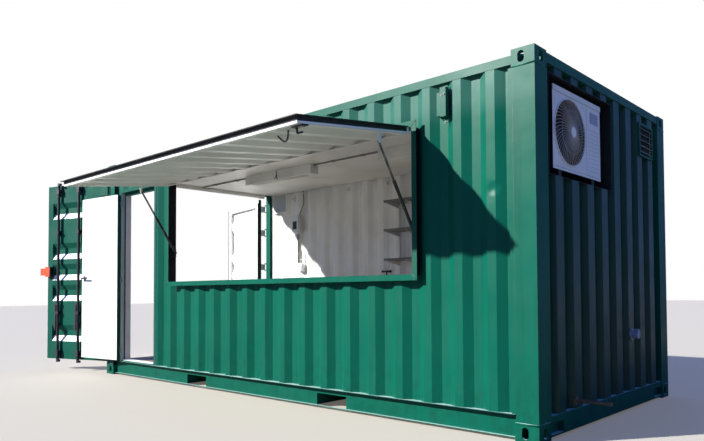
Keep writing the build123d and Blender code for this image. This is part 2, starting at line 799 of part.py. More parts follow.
def upright(plane, z, radius, mode=Mode.ADD):
    """A round bar on a hinge's own line, between two heights."""
    with Locations((plane.origin.X, plane.origin.Y, (z[0] + z[1]) / 2)):
        Cylinder(radius, z[1] - z[0], mode=mode)


def cargo_leaf(plane, sy):
    """Framed leaf with five pressed troughs across it, and its hinge blades."""
    face = sorted((sy * leaf_face, sy * (leaf_face + leaf_thick)))
    inner_x = (leaf_start + leaf_stile, leaf_end - leaf_stile)
    inner_z = (leaf_low + leaf_rail, leaf_top - leaf_rail)
    half = trough_flat / 2
    path = [(inner_z[0], 0.0)]
    for mid in trough_heights:
        path.append((mid - half - trough_slope, 0.0))
        path.append((mid - half, trough_depth))
        path.append((mid + half, trough_depth))
        path.append((mid + half + trough_slope, 0.0))
    path.append((inner_z[1], 0.0))
    skin = 3.0
    start = plane.from_local_coords((inner_x[0], 0, 0))
    across = Plane(origin=start, x_dir=(0, 0, 1), z_dir=plane.x_dir)
    into = 1.0 if across.y_dir.dot(plane.y_dir) * sy > 0 else -1.0
    sheet_path = [(z, into * (leaf_face + inset)) for z, inset in path]
    tube = leaf_tube_wall
    hollow_x = (leaf_start + tube, leaf_end - tube)
    hollow_z = (leaf_low + tube, leaf_top - tube)
    with BuildPart() as tube_hollow:
        leaf_block(plane, hollow_x, (face[0] + tube, face[1] - tube), hollow_z)
        around_x = (inner_x[0] - tube, inner_x[1] + tube)
        around_z = (inner_z[0] - tube, inner_z[1] + tube)
        leaf_block(plane, around_x, face, around_z, mode=Mode.SUBTRACT)
        for at in (leaf_start + leaf_stile, leaf_end - leaf_stile):
            drain = plane.from_local_coords((at, sy * (leaf_face + leaf_thick / 2), leaf_low - 1))
            add(round_bar(drain, (0, 0, 1), tube + 2, drain_hole_r))
    with BuildPart() as leaf:
        leaf_block(plane, (leaf_start, leaf_end), face, (leaf_low, leaf_top))
        leaf_block(plane, inner_x, face, inner_z, mode=Mode.SUBTRACT)
        add(tube_hollow.part, mode=Mode.SUBTRACT)
        with BuildSketch(across):
            with BuildLine():
                Polyline(*plate_outline(sheet_path, into * skin), close=True)
            make_face()
        extrude(amount=inner_x[1] - inner_x[0])
        for mid in hinge_heights:
            span = (mid - knuckle_h / 2, mid + knuckle_h / 2)
            upright(plane, span, knuckle_r)
            leaf_block(plane, (0, hinge_step_x + 12), sorted((sy * 2, sy * 14)), span)
            leaf_block(plane, (hinge_step_x, hinge_step_x + 12), sorted((sy * 2, sy * leaf_face)), span)
            strap_y = sorted((sy * (leaf_face - 12), sy * leaf_face))
            leaf_block(plane, (hinge_step_x, hinge_strap_end), strap_y, span)
            upright(plane, span, hinge_pin_r + 0.4, mode=Mode.SUBTRACT)
    return leaf


hinge_step_x = door_post_width + 5.0 - (half_w - cargo_pin_y)
hinge_strap_end = 230.0


save(cargo_leaf(near_plane, -1), "near_cargo_leaf")
save(cargo_leaf(far_plane, 1), "far_cargo_leaf")
with BuildPart() as cargo_door_hinges:
    for sy in (-1, 1):
        pin_plane = Plane(origin=(cargo_pin_x, sy * cargo_pin_y, 0), z_dir=(0, 0, 1))
        for mid in hinge_heights:
            for side in (-1, 1):
                lug_z = sorted((mid + side * (knuckle_h / 2 + 2), mid + side * (knuckle_h / 2 + 14)))
                upright(pin_plane, lug_z, knuckle_r)
                lug_y = sorted((sy * (half_w - door_post_corner - 14), sy * (cargo_pin_y + 5)))
                block((cargo_pin_x - 5, door_post_front), lug_y, lug_z)
            upright(pin_plane, (mid - knuckle_h / 2 - 14, mid + knuckle_h / 2 + 14), hinge_pin_r)
save(cargo_door_hinges, "cargo_door_hinges")


def lock_gear(plane, sy):
    """Two lock rods with cams at their ends, guides on the leaf and a handle each."""
    off = sy * (leaf_face - lock_rod_off)
    on_leaf = sy * leaf_face
    with BuildPart() as gear:
        for at in lock_rod_at:
            start = plane.from_local_coords((at, off, leaf_low - 38))
            add(round_bar(start, (0, 0, 1), leaf_high + 66, lock_rod_r))
            for z in (leaf_low - 36, leaf_top - 4):
                leaf_block(plane, (at - 44, at + 16), sorted((off - 10, off + 10)), (z, z + 30))
                leaf_block(plane, (at - 44, at - 20), sorted((off - sy * 10, off - sy * 26)), (z, z + 30))
            for z, reach, rise in guide_sizes:
                low = leaf_low + z * leaf_high
                leaf_block(plane, (at - reach, at + reach), sorted((on_leaf, off)), (low - rise, low + rise))
                leaf_block(plane, (at - 24, at + 24), sorted((off, off - sy * 22)), (low - rise + 8, low + rise - 8))
            handle_y = sorted((off, off - sy * 22))
            leaf_block(plane, (at + 18, at + 40), handle_y, handle_z)
            leaf_block(plane, (at - 18, at + 40), handle_y, (handle_z[1], handle_z[1] + 24))
            catch_z = (handle_z[0] + 30, handle_z[0] + 110)
            leaf_block(plane, (at + 42, at + 62), sorted((on_leaf, off - sy * 16)), catch_z)
            leaf_block(plane, (at + 16, at + 62), sorted((on_leaf, on_leaf - sy * 8)), catch_z)
    return gear


save(lock_gear(near_plane, -1), "near_lock_gear")
save(lock_gear(far_plane, 1), "far_lock_gear")
with BuildPart() as lock_box:
    box_z = (lock_box_z - lock_box_h / 2, lock_box_z + lock_box_h / 2)
    box_y = (-leaf_face, -leaf_face + 44)
    box_x = (leaf_end - lock_box_w, leaf_end)
    leaf_block(near_plane, box_x, box_y, box_z)
    tongue_x = (leaf_end - 12, leaf_end + lock_tongue)
    leaf_block(near_plane, tongue_x, box_y, (box_z[0] + 20, box_z[1] - 20))
save(lock_box, "lock_box")

# Personnel door leaf
person_turn = radians(person_open)
person_plane = Plane(
    origin=(person_pin_x, person_pin_y, 0),
    x_dir=(cos(person_turn), -sin(person_turn), 0),
    z_dir=(0, 0, 1),
)
person_start = 6.0
person_y = (person_back, person_back + person_thick)
closed_plane = Plane(origin=(person_pin_x, person_pin_y, 0), x_dir=(1, 0, 0), z_dir=(0, 0, 1))


with BuildPart() as personnel_door_leaf:
    leaf_block(
        person_plane, (person_start, person_start + person_wide), person_y, (person_low, person_top)
    )
    person_end = person_start + person_wide - person_skin
    hollow_y = (person_back + person_skin, person_back + person_thick - person_skin)
    hollow_z = (person_low + person_skin, person_top - person_skin)
    leaf_block(
        person_plane, (person_start + person_skin, person_end), hollow_y, hollow_z, mode=Mode.SUBTRACT
    )
    for share in (0.2, 0.8):
        hole_x = person_start + share * person_wide
        hole = person_plane.from_local_coords((hole_x, person_back + person_thick / 2, person_low - 1))
        add(round_bar(hole, (0, 0, 1), person_skin + 2, drain_hole_r), mode=Mode.SUBTRACT)
    for z in person_hinges:
        leaf_block(person_plane, (0, 4), (1, person_back + 1), (z - 15, z + 15))
        leaf_block(person_plane, (0, 42), (person_back - 4, person_back), (z - 15, z + 15))
        upright(person_plane, (z - 15, z + 15), person_knuckle_r)
        upright(person_plane, (z - 16, z + 16), person_hinge_pin_r + 0.4, mode=Mode.SUBTRACT)
save(personnel_door_leaf, "personnel_door_leaf")
with BuildPart() as personnel_door_hinges:
    for z in person_hinges:
        for low, high in ((z - 47, z - 16), (z + 16, z + 47)):
            upright(closed_plane, (low, high), person_knuckle_r)
            frame_y = person_pin_y + doorway_front
            leaf_block(closed_plane, (-46, 0), (-4 - frame_y, -frame_y), (low, high))
        upright(closed_plane, (z - 47, z + 47), person_hinge_pin_r)
save(personnel_door_hinges, "personnel_door_hinges")
with BuildPart() as personnel_door_handle:
    handle_x = person_start + person_wide - 60
    for face, way in ((person_back, -1), (person_back + person_thick, 1)):
        rose = sorted((face, face + way * 4))
        leaf_block(person_plane, (handle_x - 18, handle_x + 18), rose, (handle_low, handle_low + 70))
        stem = sorted((face + way * 4, face + way * 36))
        leaf_block(person_plane, (handle_x - 8, handle_x + 8), stem, (lever_z, lever_z + 16))
        lever = sorted((face + way * 36, face + way * 50))
        leaf_block(person_plane, (handle_x - 120, handle_x + 8), lever, (lever_z - 1, lever_z + 17))
save(personnel_door_handle, "personnel_door_handle")

# Air conditioner: the open steel recess, the unit on its feet, and its fan guard
plate = 3.0
recess_x = (half_l - recess_depth, half_l - end_inset)
with BuildPart() as recess_box:
    block(recess_x, (recess_left, recess_right), (recess_low, recess_top))
    block(
        (recess_x[0] + plate, recess_x[1]),
        (recess_left + plate, recess_right - plate),
        (recess_low + plate, recess_top - plate),
        mode=Mode.SUBTRACT,
    )
save(recess_box, "air_conditioner_recess")
with BuildPart() as air_conditioner:
    unit_x = (unit_front - unit_depth, unit_front)
    block(unit_x, (unit_left, unit_right), (unit_low, unit_top))
    with BuildSketch(Plane(origin=(unit_front, fan_y, fan_z), x_dir=(0, 1, 0), z_dir=(1, 0, 0))):
        Circle(fan_r - 12)
    extrude(amount=-90, mode=Mode.SUBTRACT)
    for y in (unit_left + 120, unit_right - 120):
        block((unit_x[0] + 20, unit_front - 10), (y - 25, y + 25), (recess_low + plate, unit_low))
save(air_conditioner, "air_conditioner_unit")
with BuildPart() as fan_guard:
    with BuildSketch(Plane(origin=(unit_front, fan_y, fan_z), x_dir=(0, 1, 0), z_dir=(1, 0, 0))):
        Circle(fan_r)
        Circle(fan_r - 14, mode=Mode.SUBTRACT)
        Circle(fan_r * 0.62)
        Circle(fan_r * 0.62 - 6, mode=Mode.SUBTRACT)
        Circle(42)
        with PolarLocations(0, 24):
            with Locations((fan_r / 2, 0)):
                Rectangle(fan_r - 10, 5)
    extrude(amount=8)
save(fan_guard, "fan_guard")


# Louvre vents through the closed end and the rear wall
def louvre(plane):
    """A frame with slanted blades, its back on the plane and its front facing out."""
    with BuildPart() as vent:
        with BuildSketch(plane):
            Rectangle(vent_wide, vent_high)
            Rectangle(vent_wide - 40, vent_high - 40, mode=Mode.SUBTRACT)
        extrude(amount=14)
        blades = 5
        step = (vent_high - 40) / blades
        for n in range(blades):
            at = -vent_high / 2 + 20 + (n + 0.5) * step
            spot = plane.from_local_coords((0, at, 6))
            slat = Plane(origin=spot, x_dir=plane.x_dir, z_dir=plane.z_dir)
            with Locations(Location(slat) * Location((0, 0, 0), (-50, 0, 0))):
                Box(vent_wide - 38, 40, 2)
    return vent


end_vent_plane = Plane(origin=(half_l - end_inset, vent_y, vent_z), x_dir=(0, 1, 0), z_dir=(1, 0, 0))
save(louvre(end_vent_plane), "end_louvre_vent")
rear_vent_plane = Plane(
    origin=(rear_vent_x, half_w - side_inset, rear_vent_z), x_dir=(-1, 0, 0), z_dir=(0, 1, 0)
)
save(louvre(rear_vent_plane), "rear_louvre_vent")
with BuildPart() as power_inlet:
    inlet_x = half_l - end_inset
    with BuildSketch(Plane(origin=(inlet_x, inlet_y, inlet_z), x_dir=(0, 1, 0), z_dir=(1, 0, 0))):
        Circle(inlet_r)
    extrude(amount=12)
    with BuildSketch(Plane(origin=(inlet_x + 12, inlet_y, inlet_z), x_dir=(0, 1, 0), z_dir=(1, 0, 0))):
        Circle(inlet_r - 12)
    extrude(amount=50)
save(power_inlet, "power_inlet")
with BuildPart() as drain_pipe:
    drain_x = half_l - end_inset
    with BuildSketch(Plane(origin=(drain_x, drain_y, drain_z), x_dir=(0, 1, 0), z_dir=(1, 0, 0))):
        Circle(drain_r * 2)
    extrude(amount=8)
    with BuildSketch(Plane(origin=(drain_x + 8, drain_y, drain_z), x_dir=(0, 1, 0), z_dir=(1, 0, 0))):
        Circle(drain_r)
    extrude(amount=drain_l - 8)
save(drain_pipe, "drain_pipe")
with BuildPart() as wall_vent_box:
    vent_outer = -half_w + side_inset
    body_z = (top_rail_low - vent_box_drop - vent_box_h, top_rail_low - vent_box_drop)
    body_x = (vent_box_x - vent_box_w / 2, vent_box_x + vent_box_w / 2)
    block(body_x, (vent_outer - 40, vent_outer + 1), body_z)
    block((body_x[0] + 8, body_x[1] - 8), (vent_outer - 4, vent_outer + 1), (body_z[0] - 18, body_z[1] + 18))
    trough_middle = 8 * side_pitch
    trough_half = (side_pitch - side_crest) / 2 - side_slope - 1
    block(
        (trough_middle - trough_half, trough_middle + trough_half),
        (vent_outer, vent_outer + side_depth - 0.3),
        (body_z[0] + 20, body_z[1] - 20),
    )
    block(
        (trough_middle - trough_half, body_x[1]),
        (vent_outer - 4, vent_outer + 1),
        (body_z[0] + 20, body_z[1] - 20),
    )
save(wall_vent_box, "wall_vent_box")

# Cabin lining and fittings
with BuildPart() as ceiling:
    block(
        (post_clear_x, recess_x[0] - 0.3),
        (-cabin_y, cabin_y),
        (ceiling_low, ceiling_low + ceiling_thick),
    )
save(ceiling, "ceiling")
with BuildPart() as lamps:
    for x in lamp_centres:
        body_x = (x - lamp_l / 2 + 2, x + lamp_l / 2 - 2)
        block(body_x, (-lamp_w / 2, lamp_w / 2), (ceiling_low - lamp_h + 4, ceiling_low))
        for side in (-1, 1):
            cap_x = sorted((x + side * (lamp_l / 2 - lamp_cap), x + side * lamp_l / 2))
            block(cap_x, (-lamp_w / 2 - 4, lamp_w / 2 + 4), (ceiling_low - lamp_h, ceiling_low))
save(lamps, "lamp_battens")
with BuildPart() as ceiling_conduit:
    along_y = conduit_off
    runs = (
        (-door_post_face + door_beam_depth + 20, lamp_centres[0] - lamp_l / 2 - 0.3),
        (lamp_centres[0] + lamp_l / 2 + 0.3, lamp_centres[1] - lamp_l / 2 - 0.3),
    )
    for run in runs:
        start = Vector(run[0], along_y, ceiling_low - conduit_r)
        add(round_bar(start, (1, 0, 0), run[1] - run[0], conduit_r))
        for share in (0.3, 0.75):
            at = run[0] + share * (run[1] - run[0])
            block((at - 9, at + 9), (along_y - 20, along_y + 20), (ceiling_low - 2 * conduit_r - 3, ceiling_low))
save(ceiling_conduit, "ceiling_conduit")
with BuildPart() as shelves:
    wall_face = cabin_y
    for top in shelf_tops:
        block(
            (shelf_left, shelf_left + shelf_l),
            (wall_face - shelf_deep, wall_face - 12.3),
            (top - shelf_thick, top),
        )
save(shelves, "shelves")
with BuildPart() as shelf_brackets:
    for n in range(3):
        x = shelf_left + 35 + n * bracket_spacing
        block((x - 12, x + 12), (wall_face - 12, wall_face), (shelf_tops[0] - 80, shelf_tops[-1] + 40))
        for top in shelf_tops:
            under = top - shelf_thick
            with BuildSketch(Plane.YZ.offset(x)):
                with BuildLine():
                    Polyline(
                        (wall_face - 12, under),
                        (wall_face - 12, under - 55),
                        (wall_face - shelf_deep + 20, under - 12),
                        (wall_face - shelf_deep + 20, under),
                        close=True,
                    )
                make_face()
            extrude(amount=3, both=True)
save(shelf_brackets, "shelf_brackets")
board_right = board_left + board_w
with BuildPart() as switchboard:
    block((board_left, board_right), (wall_face - board_deep, wall_face), (board_low, board_high))
    window_z = (board_low + 40, board_high - 85)
    window_y = (wall_face - board_deep - 3, wall_face - board_deep + 1)
    block((board_left + 12, board_right - 22), window_y, window_z)
    outlet_x_span = (outlet_x - outlet_w / 2, outlet_x + outlet_w / 2)
    block(outlet_x_span, (wall_face - 46, wall_face), (outlet_low, outlet_high))
    conduit_y = wall_face - conduit_r - 3
    bends = [
        (board_left + 73, conduit_y, board_high - 5),
        (board_left + 165, conduit_y, board_high + 150),
        (board_left + 174, conduit_y, board_high + 210),
        (board_left + 159, conduit_y, ceiling_low - 3),
    ]
    for start, end in zip(bends, bends[1:]):
        run = Vector(*end) - Vector(*start)
        add(round_bar(start, run.normalized(), run.length, conduit_r))
    for joint in bends[1:-1]:
        with Locations(joint):
            Sphere(conduit_r)
    lower_x = board_left + 44
    add(round_bar((lower_x, conduit_y, outlet_high), (0, 0, 1), board_low + 1 - outlet_high, conduit_r))
    add(round_bar((lower_x, conduit_y, outlet_high + 8), (1, 0, 0), outlet_x - lower_x, conduit_r))
    add(round_bar((outlet_x, conduit_y, outlet_high - 1), (0, 0, 1), 190, conduit_r))
save(switchboard, "switchboard")
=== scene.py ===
import math
from functools import partial

import bmesh
import bpy
from mathutils import Matrix, Vector


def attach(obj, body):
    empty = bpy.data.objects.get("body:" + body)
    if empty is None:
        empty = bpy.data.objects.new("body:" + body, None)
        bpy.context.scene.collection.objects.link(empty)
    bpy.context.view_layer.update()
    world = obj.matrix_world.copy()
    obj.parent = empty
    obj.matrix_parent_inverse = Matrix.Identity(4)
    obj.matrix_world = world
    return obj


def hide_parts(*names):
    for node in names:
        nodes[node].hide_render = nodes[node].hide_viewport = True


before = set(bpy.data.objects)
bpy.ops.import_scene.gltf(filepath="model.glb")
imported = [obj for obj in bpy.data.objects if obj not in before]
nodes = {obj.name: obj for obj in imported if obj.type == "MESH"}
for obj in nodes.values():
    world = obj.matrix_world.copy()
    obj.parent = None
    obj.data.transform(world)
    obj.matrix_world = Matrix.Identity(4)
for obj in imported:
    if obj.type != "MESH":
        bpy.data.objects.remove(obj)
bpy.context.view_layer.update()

# Colours, as linear values
GREEN = (0.0006, 0.074, 0.047)
GREEN_FADED = (0.001, 0.085, 0.054)
# Pale green for upward faces: partly chalky fading, partly a painted sunlit highlight
GREEN_CHALK_AND_HIGHLIGHT = (0.32, 0.48, 0.45)
CHALK_AND_HIGHLIGHT_FAINT = (0.03, 0.13, 0.09)
GREEN_GRIME = (0.003, 0.03, 0.02)
WHITE = (0.82, 0.82, 0.79)
WHITE_DULL = (0.66, 0.66, 0.62)
CREAM = (0.72, 0.73, 0.74)
CREAM_DULL = (0.6, 0.61, 0.62)
FRAME_GREY = (0.72, 0.71, 0.67)
FRAME_GREY_DULL = (0.6, 0.6, 0.58)
DARK = (0.012, 0.013, 0.016)
DARK_DUST = (0.03, 0.03, 0.032)
RUBBER = (0.008, 0.008, 0.01)
RUBBER_DUST = (0.022, 0.022, 0.024)
ROD_STEEL_DARKENED = (0.2, 0.2, 0.21)
RED = (0.72, 0.1, 0.04)
RED_DULL = (0.5, 0.07, 0.035)
PLYWOOD = (0.26, 0.17, 0.1)
PLYWOOD_DARK = (0.17, 0.11, 0.065)
BLADE = (0.035, 0.032, 0.032)
SHELF_UNDERSIDE_SHADOW = (0.2, 0.2, 0.19)
CONDUIT = (0.26, 0.25, 0.22)
CONDUIT_DULL = (0.2, 0.19, 0.17)
FILTER_GREY = (0.42, 0.45, 0.45)
FILTER_DULL = (0.36, 0.39, 0.39)
FLOOR_SEEN = (0.41, 0.385, 0.33)
FLOOR_BOUNCE = (0.215, 0.205, 0.165)
FLOOR_GLOW = (1, 0.93, 0.8)
FLOOR_LIFT = 0.12

# Colours in pairs, fresh and dull
GREY = ((0.3, 0.34, 0.42), (0.24, 0.27, 0.33))
STEEL = ((0.55, 0.56, 0.57), (0.36, 0.37, 0.38))
BRASS = ((0.22, 0.17, 0.1), (0.12, 0.1, 0.07))
GUARD = ((0.4, 0.36, 0.33), (0.3, 0.27, 0.25))
FAN_DUST = ((0.11, 0.1, 0.095), (0.08, 0.073, 0.07))
RECESS_SHADOW = ((0.004, 0.007, 0.007), (0.003, 0.005, 0.005))
SEAM = ((0.3, 0.32, 0.36), (0.25, 0.27, 0.3))
JOINT_SHADOW = ((0.002, 0.018, 0.014), (0.002, 0.012, 0.01))

# Camera of the photograph
CAMERA_PLACE = (5.044, -4.842, 0.980)
CAMERA_YAW = 129.9199
CAMERA_PITCH = 1.726
CAMERA_ROLL = -0.422
CAMERA_LENS = 32.4622
CAMERA_SENSOR = 36
CAMERA_SHIFT = (-0.09049, 0.07476)
CAMERA_FAR = 200

# Stage and light
FLOOR_SIZE = 120
SUN_TRAVEL = (0.84, 1.13, -0.777)
SUN_STRENGTH = 9.5
SUN_COLOUR = (1, 0.97, 0.92)
SUN_ANGLE = 1.2
SKY_LOW = (0.27, 0.46, 1)
SKY_HIGH = (0.09, 0.26, 1)
SKY_RISE = 0.7
SKY_STRENGTH = 0.62
FILL_STRENGTH = 3.0
FILL_SIZE = (4.6, 1.6)
FILL_PLACE = (0.1, 0.1, 0.9)

# Driving sizes of the part, in metres and radians
SIDES = (-1, 1)
HALF_L = 3.029
HALF_W = 1.219
HEIGHT = 2.591
CASTING = (0.178, 0.162, 0.118)
RAIL_TOP = 0.174
HATCH_X = (-1.467, 2.018)
HATCH_Z = (1.114, 2.21)
# Heights over which a painted glare pales the green paint
GLARE_Z = (2.2, 2.34)
FRAME_FACE = 0.046
FRAME_FRONT = 1.267
AWNING_PIN = (-1.275, 2.205)
AWNING_DROOP = math.radians(7.1)
AWNING_UNDER = 0.048
AWNING_FAR = 1.074
CABIN_Y = 1.1727
CEILING_LOW = 2.466
UNIT_FRONT = 2.98
UNIT_Y = (-0.889, -0.108)
UNIT_Z = (1.834, 2.42)
FAN_R = 0.246
GUARD_RISE = 0.026
FAN_Y = -0.624
FAN_Z = 2.124
VENT_WIDE = 0.314
VENT_HIGH = 0.295
END_VENT = (3.019, 0.755, 2.296)
REAR_VENT = (-2.642, 1.211, 2.33)
BOARD_Z = (1.85, 2.12)
OUTLET_TOP = 1.415
LAMP_L = 1.256
LAMP_H = 0.112
LAMP_CENTRES = (-1.147, 1.167)
CARGO_PIN = (-3.04, 1.212)
NEAR_OPEN = math.radians(105.5)
FAR_OPEN = math.radians(101.5)
LEAF_FACE = 0.061
LEAF_THICK = 0.05
LEAF_SPAN = (0.05, 1.2)
LEAF_Z = (0.138, 2.43)
LOCK_RODS = (0.576, 0.962)
HINGE_HEIGHTS = (0.331, 0.859, 1.387, 1.917, 2.285)
HINGE_CLEAR = 0.075
LOCK_RED = 4.37
PERSON_PIN = (-2.648, -1.226)
PERSON_OPEN = math.radians(173.0)
PERSON_SPAN = (0.006, 0.772)
PERSON_FACE = 0.047
PERSON_Z = (0.19, 2.19)

# Directions
UP = (0, 0, 1)
FRONT = (0, -1, 0)
REAR = (0, 1, 0)
CLOSED_END = (1, 0, 0)
DOOR_END = (-1, 0, 0)
HEADER_IN = (0.707, 0, -0.707)
NEAR_OUT = (-math.cos(NEAR_OPEN), -math.sin(NEAR_OPEN), 0)
FAR_OUT = (-math.cos(FAR_OPEN), math.sin(FAR_OPEN), 0)
NEAR_ALONG = (-math.sin(NEAR_OPEN), math.cos(NEAR_OPEN), 0)
PERSON_IN = (math.sin(PERSON_OPEN), math.cos(PERSON_OPEN), 0)
AWNING_UP = (0, -math.sin(AWNING_DROOP), math.cos(AWNING_DROOP))
AWNING_OUT = (0, -math.cos(AWNING_DROOP), -math.sin(AWNING_DROOP))

# Dents in the front wall: middle, radius and depth
WALL_DENTS = (
    ((2.701, -1.211, 1.68), 0.06, 1.6),
    ((2.66, -1.2, 1.66), 0.1, 0.8),
    ((2.33, -1.211, 0.93), 0.03, 0.35),
    ((2.6, -1.211, 0.86), 0.03, 0.3),
)


def socket_or_colour(tree, socket, value):
    """Joins a link or sets a colour."""
    if isinstance(value, tuple):
        socket.default_value = (*value, 1)
    else:
        tree.links.new(value, socket)


def colour_mix(tree, factor, first, second):
    """A mix of two colours, each a socket or a plain colour."""
    mix = tree.nodes.new("ShaderNodeMix")
    mix.data_type = "RGBA"
    tree.links.new(factor, mix.inputs[0])
    socket_or_colour(tree, mix.inputs[6], first)
    socket_or_colour(tree, mix.inputs[7], second)
    return mix.outputs[2]


def vector_maths(tree, operation, vector, other):
    """One sum of a vector with a fixed vector."""
    step = tree.nodes.new("ShaderNodeVectorMath")
    step.operation = operation
    step.inputs[1].default_value = other
    tree.links.new(vector, step.inputs[0])
    return step


def place_of(tree, stretch=None):
    """Object coordinates, stretched along the axes where asked."""
    place = tree.nodes.new("ShaderNodeTexCoord").outputs["Object"]
    if stretch is None:
        return place
    return vector_maths(tree, "MULTIPLY", place, stretch).outputs["Vector"]


def noise(tree, scale, detail=4, stretch=None):
    """Noise in object space."""
    cloud = tree.nodes.new("ShaderNodeTexNoise")
    cloud.inputs["Scale"].default_value = scale
    cloud.inputs["Detail"].default_value = detail
    tree.links.new(place_of(tree, stretch), cloud.inputs["Vector"])
    return cloud.outputs["Fac"]


def ranged(tree, value, low, high, to_low=0.0, to_high=1.0, curve="LINEAR"):
    """A value between two limits, carried over to two others."""
    ramp = tree.nodes.new("ShaderNodeMapRange")
    ramp.interpolation_type = curve
    ramp.inputs["From Min"].default_value = low
    ramp.inputs["From Max"].default_value = high
    ramp.inputs["To Min"].default_value = to_low
    ramp.inputs["To Max"].default_value = to_high
    tree.links.new(value, ramp.inputs["Value"])
    return ramp.outputs["Result"]


def maths(tree, operation, first, second):
    """One sum of a socket with a socket or a number."""
    step = tree.nodes.new("ShaderNodeMath")
    step.operation = operation
    tree.links.new(first, step.inputs[0])
    if isinstance(second, (int, float)):
        step.inputs[1].default_value = second
    else:
        tree.links.new(second, step.inputs[1])
    return step.outputs["Value"]


def dot_with(tree, vector, direction):
    """How far a vector reaches along a direction."""
    return vector_maths(tree, "DOT_PRODUCT", vector, direction).outputs["Value"]


def facing(tree, outward, low=0.05, high=0.15):
    """1 where the surface faces along a direction, 0 where it faces away."""
    normal = tree.nodes.new("ShaderNodeTexCoord").outputs["Normal"]
    return ranged(tree, dot_with(tree, normal, outward), low, high)


def height_of(tree):
    """Height above the ground."""
    return dot_with(tree, place_of(tree), UP)


def near_spot(tree, spot, radius):
    """1 at a spot, falling to 0 at a radius."""
    away = vector_maths(tree, "DISTANCE", place_of(tree), spot).outputs["Value"]
    return ranged(tree, away, low=radius, high=0, curve="SMOOTHSTEP")


def uneven_gloss(tree, shader, scale, low, high, detail=3):
    """Roughness that drifts between two limits."""
    gloss = ranged(tree, noise(tree, scale, detail), 0.3, 0.7, low, high)
    tree.links.new(gloss, shader.inputs["Roughness"])


def bumped(tree, shader, height, strength, distance):
    """A bump from a height."""
    bump = tree.nodes.new("ShaderNodeBump")
    bump.inputs["Strength"].default_value = strength
    bump.inputs["Distance"].default_value = distance
    tree.links.new(height, bump.inputs["Height"])
    tree.links.new(bump.outputs["Normal"], shader.inputs["Normal"])


def new_material(name, roughness, metallic=0.0, gleam=None):
    """A material with its shader and its tree of nodes, ready for a colour."""
    material = bpy.data.materials.new(name)
    material.use_nodes = True
    tree = material.node_tree
    shader = tree.nodes["Principled BSDF"]
    shader.inputs["Roughness"].default_value = roughness
    shader.inputs["Metallic"].default_value = metallic
    if gleam is not None:
        shader.inputs["Specular IOR Level"].default_value = gleam
    return material, shader, tree


def patchy(tree, colour, dull, scale, high=0.72, detail=4):
    """A colour with dull patches."""
    patches = ranged(tree, noise(tree, scale, detail), low=0.4, high=high)
    return colour_mix(tree, patches, colour, dull)


def finish(tree, shader, colour, grain, strength, distance):
    """The base colour, and a bump of fine grain."""
    tree.links.new(colour, shader.inputs["Base Color"])
    bumped(tree, shader, noise(tree, grain, detail=2), strength, distance)


def worn(name, colour, dull, roughness=0.5, metallic=0.0, scale=9.0):
    """A finish with dull patches, an uneven gloss and a fine grain."""
    material, shader, tree = new_material(name, roughness, metallic)
    uneven_gloss(tree, shader, scale * 2.3, roughness - 0.07, roughness + 0.09, detail=4)
    patches = patchy(tree, colour, dull, scale)
    finish(tree, shader, patches, grain=260, strength=0.35, distance=0.0004)
    return material


def green_paint(
    name,
    outward=None,
    inward=None,
    painted_white_glare=False,
    dents=(),
    tone_and_painted_shade=1.0,
    gleam=0.15,
    painted_glare_high=0.0,
    chalk_and_highlight=GREEN_CHALK_AND_HIGHLIGHT,
    outer_limits=(0.05, 0.15),
):
    """Green paint: faded patches, rain streaks, grime low down, chalk with a painted highlight
    on top faces, and painted glare.

    Faces turned away from outward, or along inward, are white.
    """
    material, shader, tree = new_material(name, 0.4, gleam=gleam)
    fresh = tuple(tone_and_painted_shade * part for part in GREEN)
    old = tuple(tone_and_painted_shade * part for part in GREEN_FADED)
    faded = ranged(tree, noise(tree, scale=1.3, detail=5), low=0.35, high=0.75)
    colour = colour_mix(tree, faded, fresh, old)
    rain = noise(tree, scale=3, detail=3, stretch=(7, 7, 0.35))
    streaks = ranged(tree, rain, low=0.52, high=0.85, to_high=0.35)
    colour = colour_mix(tree, streaks, colour, GREEN_GRIME)
    splash = ranged(tree, height_of(tree), low=0.6, high=0.05, to_high=0.4)
    specks = ranged(tree, noise(tree, scale=14, detail=6), low=0.42, high=0.7)
    colour = colour_mix(tree, maths(tree, "MULTIPLY", splash, specks), colour, GREEN_GRIME)
    # Painted glare: between these heights the green is mixed towards the pale colour, for the
    # glare high on the walls
    if painted_glare_high:
        glare_band = ranged(tree, height_of(tree), *GLARE_Z, to_high=painted_glare_high)
        colour = colour_mix(tree, glare_band, colour, GREEN_CHALK_AND_HIGHLIGHT)
    # Painted glare: upward faces, such as the leaves' lower trough slopes, are white for the
    # sun's glare on them
    if painted_white_glare:
        colour = colour_mix(tree, facing(tree, UP, low=0.25, high=0.35), colour, WHITE)
    else:
        # Upward faces get the pale colour: partly chalky fading, partly a painted sunlit
        # highlight on top edges
        colour = colour_mix(tree, facing(tree, UP, low=0.45, high=0.8), colour, chalk_and_highlight)
    if outward:
        outer = facing(tree, outward, *outer_limits)
        colour = colour_mix(tree, outer, white_colour(tree), colour)
    if inward:
        inner = facing(tree, inward, low=0.5, high=0.6)
        colour = colour_mix(tree, inner, colour, white_colour(tree))
    tree.links.new(colour, shader.inputs["Base Color"])
    uneven_gloss(tree, shader, 4.5, 0.33, 0.46)
    grain = maths(tree, "MULTIPLY", noise(tree, scale=180, detail=2), 0.04)
    waves = maths(tree, "MULTIPLY", noise(tree, scale=3.2, detail=2), 0.9)
    height = maths(tree, "ADD", grain, waves)
    for spot, radius, deep in dents:
        dent = maths(tree, "MULTIPLY", near_spot(tree, spot, radius), -deep)
        height = maths(tree, "ADD", height, dent)
    bumped(tree, shader, height, strength=0.5, distance=0.008)
    return material


def white_colour(tree):
    """White paint with faint dull patches."""
    return patchy(tree, WHITE, WHITE_DULL, scale=2.1, high=0.8, detail=5)


